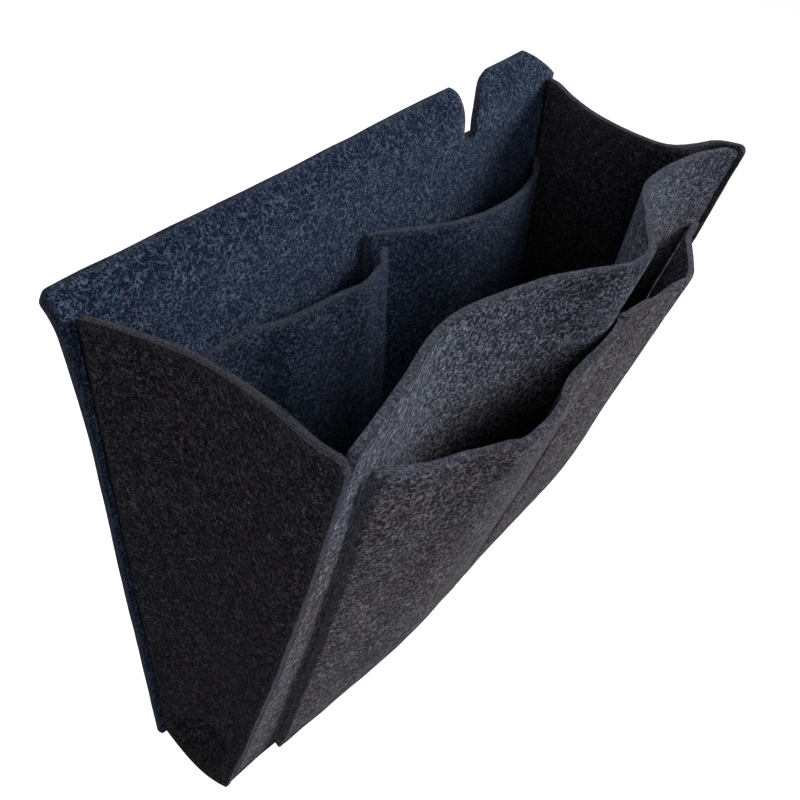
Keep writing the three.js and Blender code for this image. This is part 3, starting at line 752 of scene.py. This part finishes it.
def stitches(name, runs):
    """Thread along seams. Each run is a function from a share to (point, normal), and its length."""
    cut = bpy.context.scene.caddy_cut
    points, faces = [], []
    sides, steps = THREAD_SIDES, THREAD_STEPS
    within = lerp(0.5 - cut.stitch_share / 2, 0.5 + cut.stitch_share / 2, np.linspace(0, 1, steps))
    rise = np.sin(np.linspace(0, math.pi, steps)) ** 0.6
    lift = lerp(THREAD_SINK, THREAD_RISE, rise) * cut.thread
    for at, run in runs:
        count = max(1, round(run / cut.stitch_pitch))
        shares = (np.arange(count)[:, None] + within[None]) / count
        centre, normal = at(shares.ravel())
        centre = settle(centre, cut).reshape(count, steps, 3)
        normal = normal.reshape(count, steps, 3)
        centre = centre + normal * lift[None, :, None]
        along = np.gradient(centre, axis=1)
        along /= np.linalg.norm(along, axis=-1, keepdims=True)
        beside = np.cross(along, normal)
        beside /= np.linalg.norm(beside, axis=-1, keepdims=True)
        up = np.cross(beside, along)
        for stitch in range(count):
            first = len(points)
            for step in range(steps):
                thick = cut.thread / 2 * lerp(THREAD_END_SHARE, 1, rise[step])
                for side in range(sides):
                    a = 2 * math.pi * side / sides
                    points.append(centre[stitch, step] + thick * (
                        math.cos(a) * beside[stitch, step] + math.sin(a) * up[stitch, step]))
            rings = [[first + step * sides + side for side in range(sides)] for step in range(steps)]
            for near, far in zip(rings, rings[1:]):
                for side in range(sides):
                    after = (side + 1) % sides
                    faces.append([near[side], near[after], far[after], far[side]])
            faces += [rings[0][::-1], rings[-1]]
    mesh = bpy.data.meshes.new(name)
    mesh.from_pydata([tuple(p) for p in points], [], faces)
    mesh.update()
    mesh.shade_smooth()
    piece = bpy.data.objects.new(name, mesh)
    bpy.context.scene.collection.objects.link(piece)
    return piece


def seam_on(face, wide, high, side):
    """The run of a seam along one side of a face: its points and outward normals, and its length."""
    cut = bpy.context.scene.caddy_cut

    def at(share):
        t = np.clip(share, SEAM_END_SHARE, 1 - SEAM_END_SHARE)
        across = {"L": cut.seam_inset / wide + 0 * t, "R": 1 - cut.seam_inset / wide + 0 * t}.get(side, t)
        down = 1 - cut.seam_inset / high + 0 * t if side == "B" else t
        sunk = thickened(face)(across, down, np.full(len(t), cut.seam_dip))
        return sunk, -slopes(face, across, down)[0]

    return at, high if side in "LR" else wide


def link(tree, source, target):
    tree.links.new(source, target)


def node(tree, kind, values=None, **settings):
    made = tree.nodes.new(kind)
    for key, value in settings.items():
        setattr(made, key, value)
    for key, value in (values or {}).items():
        made.inputs[key].default_value = value
    return made


def maths(tree, operation, a, b=None, clamp=False):
    made = node(tree, "ShaderNodeMath", operation=operation, use_clamp=clamp)
    for socket, value in zip(made.inputs, (a, b)):
        if isinstance(value, bpy.types.NodeSocket):
            link(tree, value, socket)
        elif value is not None:
            socket.default_value = value
    return made.outputs[0]


def spread(tree, value, low, high, to_low=0.0, to_high=1.0):
    made = node(tree, "ShaderNodeMapRange", {1: low, 2: high, 3: to_low, 4: to_high},
                interpolation_type="SMOOTHSTEP")
    link(tree, value, made.inputs[0])
    return made.outputs[0]


def blended(tree, share, a, b, kind="MIX"):
    made = node(tree, "ShaderNodeMix", data_type="RGBA", blend_type=kind)
    for socket, value in zip((made.inputs[0], made.inputs[6], made.inputs[7]), (share, a, b)):
        if isinstance(value, bpy.types.NodeSocket):
            link(tree, value, socket)
        else:
            socket.default_value = value
    return made.outputs[2]


def group(name, inputs, outputs):
    """An empty shader node group with named inputs and outputs."""
    tree = bpy.data.node_groups.new(name, "ShaderNodeTree")
    for label, kind, default in inputs:
        socket = tree.interface.new_socket(name=label, in_out="INPUT", socket_type=kind)
        socket.default_value = default
    for label, kind in outputs:
        tree.interface.new_socket(name=label, in_out="OUTPUT", socket_type=kind)
    return tree, tree.nodes.new("NodeGroupInput"), tree.nodes.new("NodeGroupOutput")


def noise(tree, vector, scale, detail, rough=0.5, output="Fac"):
    made = node(tree, "ShaderNodeTexNoise", {"Scale": scale, "Detail": detail, "Roughness": rough})
    link(tree, vector, made.inputs["Vector"])
    return made.outputs[output]


def curled_place(tree, millimetres):
    """The place in millimetres, pushed about so that straight webs turn into curled fibres."""
    centred = node(tree, "ShaderNodeVectorMath", {1: (0.5, 0.5, 0.5)}, operation="SUBTRACT")
    link(tree, noise(tree, millimetres, CURL_SCALE, 1.0, output="Color"), centred.inputs[0])
    curled = node(tree, "ShaderNodeVectorMath", {1: CURL_REACH}, operation="MULTIPLY_ADD")
    link(tree, centred.outputs[0], curled.inputs[0])
    link(tree, millimetres, curled.inputs[2])
    return curled.outputs[0]


def fibre_strand(tree, curled, number, turn, scale, grain):
    """Short curled fibres: the webs between cells, cut into lengths and broken by the grain."""
    laid = node(tree, "ShaderNodeMapping", {"Rotation": turn, "Location": (13.0 * number, 7.0, 3.0)})
    link(tree, curled, laid.inputs["Vector"])
    web = node(tree, "ShaderNodeTexVoronoi", {"Scale": scale}, feature="DISTANCE_TO_EDGE")
    link(tree, laid.outputs[0], web.inputs["Vector"])
    lengths = spread(tree, noise(tree, laid.outputs[0], 0.6 + 0.13 * number, 0.5), 0.5, 0.6)
    strand = maths(tree, "MULTIPLY", spread(tree, web.outputs["Distance"], 0.12, 0.01), lengths)
    return maths(tree, "MULTIPLY", strand, spread(tree, grain, 0.3, 0.6, 0.4, 1.0))


def painted_warmth_at(tree, place, millimetres, warmth, warm_light_top):
    """Painted warm light on the felt: by how far it lies below a level, in slow patches."""
    level = node(tree, "ShaderNodeSeparateXYZ")
    link(tree, place, level.inputs[0])
    under = maths(tree, "SUBTRACT", warm_light_top, level.outputs["Z"])
    painted_warmth = maths(tree, "MULTIPLY", spread(tree, under, 0.0, WARM_LIGHT_FADE), warmth)
    patches = spread(tree, noise(tree, millimetres, 0.03, 2.0), 0.36, 0.58, 0.65, 1.0)
    return maths(tree, "MULTIPLY", painted_warmth, patches)


def felt_group():
    """Heathered felt: curled pale fibres in a dark ground, flecks, slow tints, a painted warm light below a
    level, and pale raw edges with a painted highlight.
    """
    if "Heathered felt" in bpy.data.node_groups:
        return bpy.data.node_groups["Heathered felt"]
    tree, given, result = group(
        "Heathered felt",
        [("Ground", "NodeSocketColor", (0.03, 0.03, 0.04, 1)),
         ("Fibre", "NodeSocketColor", (0.2, 0.2, 0.2, 1)),
         ("Edge", "NodeSocketColor", (0.1, 0.1, 0.1, 1)),
         ("Fibre Amount", "NodeSocketFloat", 0.5),
         ("Warmth", "NodeSocketFloat", 0.3),
         ("Warm Top", "NodeSocketFloat", 1.0),
         ("Motley", "NodeSocketFloat", 0.8)],
        [("Color", "NodeSocketColor"), ("Height", "NodeSocketFloat"), ("Roughness", "NodeSocketFloat")])
    fibre, motley = given.outputs["Fibre"], given.outputs["Motley"]
    place = node(tree, "ShaderNodeTexCoord").outputs["Object"]
    scaled = node(tree, "ShaderNodeVectorMath", {3: 1000.0}, operation="SCALE")
    link(tree, place, scaled.inputs[0])
    millimetres = scaled.outputs[0]
    curled = curled_place(tree, millimetres)
    grain = noise(tree, millimetres, GRAIN_SCALE, 2.0, 0.6)
    patch = spread(tree, noise(tree, millimetres, 0.14, 2.5, 0.6), 0.33, 0.67, 0.62, 1.12)
    speck = maths(tree, "MULTIPLY", spread(tree, grain, 0.42, 0.72), SPECK_SHARE)
    colour = blended(tree, speck, given.outputs["Ground"], fibre)
    strands = None
    for number, (turn, scale, shift) in enumerate(FIBRE_LAYERS):
        strand = fibre_strand(tree, curled, number, turn, scale, grain)
        strands = strand if strands is None else maths(tree, "MAXIMUM", strands, strand)
        share = maths(tree, "MULTIPLY", strand, given.outputs["Fibre Amount"])
        share = maths(tree, "MULTIPLY", share, patch, clamp=True)
        colour = blended(tree, share, colour, blended(tree, motley, fibre, shift, "MULTIPLY"))
    hue = spread(tree, noise(tree, millimetres, 0.22, 1.5, output="Color"), 0.4, 0.6)
    drift = blended(tree, hue, COOL_TINT, ROSY_TINT)
    colour = blended(tree, motley, colour, drift, "MULTIPLY")
    # Painted warm light: warm bounce below a level, and the warm cast of shade on the gussets and bottom
    painted_warmth = painted_warmth_at(tree, place, millimetres, given.outputs["Warmth"], given.outputs["Warm Top"])
    colour = blended(tree, painted_warmth, colour, WARM_LIGHT_TINT, "MULTIPLY")
    # Raw edges: pale fuzz, lightened as a painted highlight
    edge = node(tree, "ShaderNodeAttribute", attribute_name="raw_edge").outputs["Fac"]
    fuzz = maths(tree, "MULTIPLY", edge, spread(tree, grain, 0.34, 0.6, 0.15, 0.95))
    colour = blended(tree, fuzz, colour, given.outputs["Edge"])
    link(tree, colour, result.inputs["Color"])
    height = maths(tree, "ADD", maths(tree, "MULTIPLY", strands, 0.6), maths(tree, "MULTIPLY", grain, 0.6))
    link(tree, height, result.inputs["Height"])
    link(tree, spread(tree, strands, 0.0, 1.0, 0.98, 0.86), result.inputs["Roughness"])
    return tree


def shader(material):
    material.use_nodes = True
    return next(n for n in material.node_tree.nodes if n.type == "BSDF_PRINCIPLED")


def felt_material(name, ground, fibre, fibre_amount, warmth, warm_light_top, sheen):
    """A felt in the given ground and fibre colours, with a painted warm light below a level."""
    look = bpy.context.scene.caddy_look
    material = bpy.data.materials.new(name)
    surface = shader(material)
    tree = material.node_tree
    felt = node(tree, "ShaderNodeGroup", {
        "Ground": tuple(ground), "Fibre": tuple(fibre), "Edge": tuple(look.edge),
        "Fibre Amount": fibre_amount, "Warmth": warmth, "Warm Top": warm_light_top}, node_tree=felt_group())
    bump = node(tree, "ShaderNodeBump", {"Strength": 0.75, "Distance": 0.00022})
    link(tree, felt.outputs["Height"], bump.inputs["Height"])
    link(tree, felt.outputs["Color"], surface.inputs["Base Color"])
    link(tree, felt.outputs["Roughness"], surface.inputs["Roughness"])
    link(tree, bump.outputs["Normal"], surface.inputs["Normal"])
    for key, value in (
        ("Specular IOR Level", 0.0), ("Diffuse Roughness", 1.0), ("Sheen Weight", sheen),
        ("Sheen Roughness", 0.55), ("Sheen Tint", (0.75, 0.8, 0.9, 1)),
    ):
        surface.inputs[key].default_value = value
    return material


def thread_material():
    """Matt polyester thread with a faint twist."""
    if "Sewing thread" in bpy.data.materials:
        return bpy.data.materials["Sewing thread"]
    look = bpy.context.scene.caddy_look
    material = bpy.data.materials.new("Sewing thread")
    surface = shader(material)
    tree = material.node_tree
    place = node(tree, "ShaderNodeTexCoord").outputs["Object"]
    twist = node(tree, "ShaderNodeTexWave", {"Scale": 900.0, "Distortion": 2.0, "Detail": 1.0},
                 bands_direction="DIAGONAL")
    link(tree, place, twist.inputs["Vector"])
    dark = tuple(c * 0.6 for c in look.thread[:3]) + (1.0,)
    colour = blended(tree, twist.outputs["Fac"], dark, tuple(look.thread))
    link(tree, colour, surface.inputs["Base Color"])
    surface.inputs["Roughness"].default_value = 0.6
    surface.inputs["Sheen Weight"].default_value = 0.1
    return material


def dress(piece, material, slot, *nodes, body="pouch"):
    """Gives a piece its finish, its body and the solids that it stands for."""
    piece.data.materials.append(material)
    if nodes:
        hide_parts(*nodes)
    if body:
        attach(piece, body)
    return piece


def felt_of(kind):
    """The felt material for a kind of panel, made once."""
    look = bpy.context.scene.caddy_look
    name = kind.capitalize() + " felt"
    if name in bpy.data.materials:
        return bpy.data.materials[name]
    cloth, *finish = FELT_KINDS[kind]
    return felt_material(name, getattr(look, cloth), getattr(look, cloth + "_fibre"), *finish)


def arc(x, level, radius, start, turn, steps):
    """Points of an arc in the back panel, from a start angle through a turn, as (x, level) pairs."""
    angles = np.radians(np.linspace(start, start + turn, steps + 1))
    return [(x + radius * math.cos(a), level + radius * math.sin(a)) for a in angles]


def notch_and_corner(body):
    """The strip's edge from the cable notch to the rounded right corner, as (x, run) pairs."""
    s = body.s
    left = s.notch_from_left - body.half
    right, floor = left + s.notch_width, body.mouth - s.notch_drop
    low, mouth, flare = s.notch_floor, s.notch_mouth, s.notch_flare
    end = body.half + s.strip_flare

    def lip(x):
        return body.back_face(x, 0)[2]

    edge = arc(left - mouth, lip(left) - mouth, mouth, 90, -90, 8)
    edge += arc(left + low, floor + low, low, 180, 90, 5)
    edge += arc(right - low, floor + low, low, 270, 90, 5)
    edge += arc(right + flare, lip(right + flare) - flare, flare, 180, -90, 12)
    for t in np.linspace(0, 1, 13):
        inwards = 1 - 2 * t * (1 - t) * STRIP_CORNER_PULL - t * t
        edge.append((end - s.strip_corner_width * inwards, lip(end) - t * t * s.strip_corner_height))
    return [(x, max(float(body.run_at(x, level)), 0.0)) for x, level in edge]


def back_outline(body, pitch):
    """The back panel's outline as (x, run) pairs, from its upper left corner round to it again."""
    half, long = body.half, body.back_length
    wide = float(body.back_half_width(0))
    top = notch_and_corner(body)
    runs = np.linspace(0.3, 1, 8) * (body.bend_length + body.s.flare_height)
    sides = [(float(body.back_half_width(run)), float(run)) for run in runs]
    begin = corner_points((-wide, 0), (-wide, 1), (0, 0), STRIP_LEFT_CORNER)
    rightward = [(x, run) for x, run in sides if run > top[-1][1] + pitch / 3]
    foot = corner_points((half, long), (half, 0), (0, long), BACK_FOOT_CORNER)
    foot += corner_points((-half, long), (0, long), (-half, 0), BACK_FOOT_CORNER)
    leftward = [(-x, run) for x, run in reversed(sides)]
    return begin + top + rightward + foot + leftward


class CADDY_OT_back(bpy.types.Operator):
    """Back panel with its leaning strip and cable notch"""

    bl_idname = "caddy.back"
    bl_label = "Back panel"

    def execute(self, context):
        s, cut = context.scene.caddy_pouch, context.scene.caddy_cut
        body = pouch()

        def laid(u, v, depth):
            fall = body.back_face(u, v + RUN_STEP) - body.back_face(u, v - RUN_STEP)
            fall[..., 0] = 0
            fall /= np.linalg.norm(fall, axis=-1, keepdims=True)
            normal = np.stack([np.zeros(len(u)), -fall[:, 2], fall[:, 1]], -1)
            return body.back_face(u, v) + normal * np.asarray(depth)[..., None]

        left = s.notch_from_left - body.half
        lines = [(0, left), (0, left + s.notch_width)]
        piece = felt_panel("felt_back", back_outline(body, cut.pitch), laid, None, 2, lines)
        dress(piece, felt_of("lining"), "lining_felt", "back_panel")
        2 * float(body.back_half_width(0))
        return {"FINISHED"}


class CADDY_OT_front(bpy.types.Operator):
    """Front panel with its waved rim"""

    bl_idname = "caddy.front"
    bl_label = "Front panel"

    def execute(self, context):
        body = pouch()
        wide = 2 * body.front_half
        piece = share_panel("felt_front", body.front, wide, FRONT_HIGH, 1, FRONT_CORNERS, "B", 3)
        dress(piece, felt_of("front"), "charcoal_felt", "front_panel")
        return {"FINISHED"}


class CADDY_OT_gussets(bpy.types.Operator):
    """Left and right gussets with their bows, dents and raw margins"""

    bl_idname = "caddy.gussets"
    bl_label = "Gussets"

    def execute(self, context):
        s = context.scene.caddy_pouch
        body = pouch()
        for name, cad, face, reach, seed in (
            ("felt_gusset_left", "left_gusset", body.left_gusset, s.reach_left, 4),
            ("felt_gusset_right", "right_gusset", body.right_gusset, s.reach_right, 5),
        ):
            piece = share_panel(name, face, reach, GUSSET_HIGH, 0, GUSSET_CORNERS, "", seed)
            dress(piece, felt_of("gusset"), "charcoal_felt", cad)
        return {"FINISHED"}


class CADDY_OT_bottom(bpy.types.Operator):
    """Sagging bottom strip between the panels"""

    bl_idname = "caddy.bottom"
    bl_label = "Bottom strip"

    def execute(self, context):
        body = pouch()
        piece = share_panel("felt_bottom", body.bottom, BOTTOM_WIDE, BOTTOM_DEEP, 2, BOTTOM_CORNERS, "", 6)
        dress(piece, felt_of("gusset"), "charcoal_felt", "bottom_panel")
        return {"FINISHED"}


class CADDY_OT_inner_pockets(bpy.types.Operator):
    """Two pockets sewn to the back panel's inner face"""

    bl_idname = "caddy.inner_pockets"
    bl_label = "Inner pockets"

    def execute(self, context):
        p = context.scene.caddy_pockets
        body = pouch()
        wide_right = 2 * body.half - p.inner_right_inset - p.inner_right_from
        wide_left = p.inner_left_to - p.inner_left_from
        right = (body.inner_right, wide_right, INNER_RIGHT_HIGH)
        left = (body.inner_left, wide_left, INNER_LEFT_HIGH)
        seams = []
        for name, cad, panel, fullness, seen_seams, seed in (
            ("felt_inner_right", "inner_pocket_right", right, INNER_RIGHT_FULLNESS, "RB", 7),
            ("felt_inner_left", "inner_pocket_left", left, INNER_LEFT_FULLNESS, "LRB", 8),
        ):
            face, wide, high = panel
            piece = share_panel(name, face, wide, high, None, INNER_CORNERS, "LRB", seed)
            dress(piece, felt_of("lining"), "lining_felt", cad)
            seams += [seam_on(face, wide, high, side) for side in seen_seams]
        dress(stitches("thread_inner_pockets", seams), thread_material(), "charcoal_felt")
        return {"FINISHED"}


class CADDY_OT_front_pockets(bpy.types.Operator):
    """Two full pockets side by side on the front panel"""

    bl_idname = "caddy.front_pockets"
    bl_label = "Front pockets"

    def execute(self, context):
        s, p = context.scene.caddy_pouch, context.scene.caddy_pockets
        body = pouch()
        large = (body.large_pocket(), p.front_split - p.front_from, LARGE_HIGH)
        small = (body.small_pocket(), s.width - p.front_inset - p.front_split, SMALL_HIGH)
        seams = []
        for name, cad, panel, seed in (
            ("felt_pocket_large", "front_pocket_large", large, 9),
            ("felt_pocket_small", "front_pocket_small", small, 10),
        ):
            face, wide, high = panel
            piece = share_panel(name, face, wide, high, None, FRONT_POCKET_CORNERS, "LRB", seed)
            dress(piece, felt_of("pocket"), "pocket_felt", cad)
            seams += [seam_on(face, wide, high, side) for side in "LRB"]
        dress(stitches("thread_front_pockets", seams), thread_material(), "charcoal_felt")
        return {"FINISHED"}


class CADDY_OT_flap(bpy.types.Operator):
    """Mattress flap, one flat sheet with its sewn margin above the fold line"""

    bl_idname = "caddy.flap"
    bl_label = "Mattress flap"

    def execute(self, context):
        s, p = context.scene.caddy_pouch, context.scene.caddy_pockets
        high = p.flap_margin + p.flap_length

        def laid(u, v, depth):
            return stack(p.flap_width / 2 - u, s.seam_gap + s.felt - depth, p.flap_margin - v)

        def pulled(u, v):
            return sum(dip_at(v - seam) for seam in FLAP_SEAMS)

        corners = (FLAP_TOP_CORNER, FLAP_TOP_CORNER, p.flap_corner, p.flap_corner)
        outline = sheet_outline(p.flap_width, high, corners)
        lines = [(1, seam) for seam in FLAP_SEAMS]
        piece = felt_panel("felt_flap", outline, laid, pulled, 11, lines)
        dress(piece, felt_of("flap"), "charcoal_felt", "mattress_flap", "flap_sewn_margin", body=None)
        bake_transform(piece)

        def row(seam):
            def at(share):
                x = lerp(-p.flap_width / 2 + FLAP_SEAM_END, p.flap_width / 2 - FLAP_SEAM_END, share)
                y = s.seam_gap + s.felt - context.scene.caddy_cut.seam_dip + 0 * x
                return stack(x, y, p.flap_margin - seam + 0 * x), stack(0 * x, 1 + 0 * x, 0 * x)

            return at, p.flap_width - 2 * FLAP_SEAM_END

        rows = [row(seam) for seam in FLAP_SEAMS]
        dress(stitches("thread_flap", rows), thread_material(), "charcoal_felt")
        return {"FINISHED"}


def seen_straight(tree):
    """1 for camera, glossy and transmission rays, and 0 for the rays that light the caddy."""
    path = node(tree, "ShaderNodeLightPath")
    seen = maths(tree, "MAXIMUM", path.outputs["Is Camera Ray"], path.outputs["Is Glossy Ray"])
    return maths(tree, "MAXIMUM", seen, path.outputs["Is Transmission Ray"])


def lay_floor(stage, look):
    """A pale floor that keeps the caddy's shadow and throws little light up at it."""
    half = stage.floor_size / 2
    mesh = bpy.data.meshes.new("floor")
    corners = [(-half, -half, 0), (half, -half, 0), (half, half, 0), (-half, half, 0)]
    mesh.from_pydata(corners, [], [(0, 1, 2, 3)])
    floor = bpy.data.objects.new("floor", mesh)
    floor.location.z = -stage.floor_drop
    bpy.context.scene.collection.objects.link(floor)
    material = bpy.data.materials.new("Pale floor")
    surface = shader(material)
    tree = material.node_tree
    path = node(tree, "ShaderNodeLightPath")
    pale = blended(tree, path.outputs["Is Diffuse Ray"], tuple(look.floor), BOUNCE_COLOUR)
    link(tree, pale, surface.inputs["Base Color"])
    surface.inputs["Roughness"].default_value = 0.9
    surface.inputs["Specular IOR Level"].default_value = 0.1
    glow = node(tree, "ShaderNodeEmission", {"Color": (1, 1, 1, 1)})
    link(tree, maths(tree, "MULTIPLY", seen_straight(tree), stage.floor_glow), glow.inputs["Strength"])
    mixed = node(tree, "ShaderNodeAddShader")
    link(tree, surface.outputs[0], mixed.inputs[0])
    link(tree, glow.outputs[0], mixed.inputs[1])
    output = next(n for n in tree.nodes if n.type == "OUTPUT_MATERIAL")
    link(tree, mixed.outputs[0], output.inputs["Surface"])
    mesh.materials.append(material)


def hang_sky(stage):
    """A white sky to look at, which lights the caddy evenly and faintly."""
    world = bpy.data.worlds.new("Even sky")
    bpy.context.scene.world = world
    world.use_nodes = True
    tree = world.node_tree
    tree.nodes.clear()
    lit = node(tree, "ShaderNodeBackground", {"Color": SKY_COLOUR, "Strength": stage.sky_level})
    white = node(tree, "ShaderNodeBackground", {"Color": (1, 1, 1, 1), "Strength": 1.0})
    mixed = node(tree, "ShaderNodeMixShader")
    link(tree, seen_straight(tree), mixed.inputs[0])
    link(tree, lit.outputs[0], mixed.inputs[1])
    link(tree, white.outputs[0], mixed.inputs[2])
    output = node(tree, "ShaderNodeOutputWorld")
    link(tree, mixed.outputs[0], output.inputs["Surface"])


def place_lamps(stage):
    for name, power, size, place in LAMPS:
        lamp = bpy.data.lights.new(name, "AREA")
        lamp.energy = getattr(stage, power)
        lamp.size = size
        holder = bpy.data.objects.new(name, lamp)
        holder.location = place
        aim = np.array(LAMP_AIM) - np.array(place)
        tilt = math.atan2(math.hypot(aim[0], aim[1]), -aim[2])
        holder.rotation_euler = Euler((tilt, 0, math.atan2(aim[1], aim[0]) - math.pi / 2))
        bpy.context.scene.collection.objects.link(holder)


def place_camera(stage):
    scene = bpy.context.scene
    camera = bpy.data.objects.new("camera", bpy.data.cameras.new("camera"))
    camera.location = stage.camera_place
    camera.rotation_euler = Euler(stage.camera_turn)
    camera.data.lens = stage.lens
    camera.data.sensor_width = SENSOR_WIDTH
    camera.data.clip_start = 0.01
    scene.collection.objects.link(camera)
    scene.camera = camera


class CADDY_OT_stage(bpy.types.Operator):
    """Pale floor, soft lamps and the camera"""

    bl_idname = "caddy.stage"
    bl_label = "Stage"

    def execute(self, context):
        stage = context.scene.caddy_stage
        lay_floor(stage, context.scene.caddy_look)
        hang_sky(stage)
        place_lamps(stage)
        place_camera(stage)
        context.scene.view_settings.view_transform = "Standard"
        return {"FINISHED"}


OPERATORS = (
    CADDY_OT_back, CADDY_OT_front, CADDY_OT_gussets, CADDY_OT_bottom, CADDY_OT_inner_pockets,
    CADDY_OT_front_pockets, CADDY_OT_flap, CADDY_OT_stage)
SETTINGS = (
    ("caddy_pouch", CaddyPouchSizes), ("caddy_pockets", CaddyPocketSizes), ("caddy_cut", CaddyFeltCut),
    ("caddy_look", CaddyFeltLook), ("caddy_stage", CaddyStage))


class CADDY_PT_panel(bpy.types.Panel):
    """Lists the caddy's pieces and settings"""

    bl_idname = "CADDY_PT_panel"
    bl_label = "Bedside Caddy"
    bl_space_type = "VIEW_3D"
    bl_region_type = "UI"
    bl_category = "Caddy"

    def draw(self, context):
        for operator in OPERATORS:
            self.layout.operator(operator.bl_idname)
        for name, kind in SETTINGS:
            box = self.layout.box()
            for key in kind.__annotations__:
                box.prop(getattr(context.scene, name), key)


def register():
    for name, kind in SETTINGS:
        bpy.utils.register_class(kind)
        setattr(bpy.types.Scene, name, bpy.props.PointerProperty(type=kind))
    for kind in (*OPERATORS, CADDY_PT_panel):
        bpy.utils.register_class(kind)


def unregister():
    for kind in (CADDY_PT_panel, *reversed(OPERATORS)):
        bpy.utils.unregister_class(kind)
    for name, kind in reversed(SETTINGS):
        delattr(bpy.types.Scene, name)
        bpy.utils.unregister_class(kind)


def main():
    register()
    for operator in OPERATORS:
        getattr(bpy.ops.caddy, operator.bl_idname.split(".")[1])()


if __name__ == "__main__":
    main()
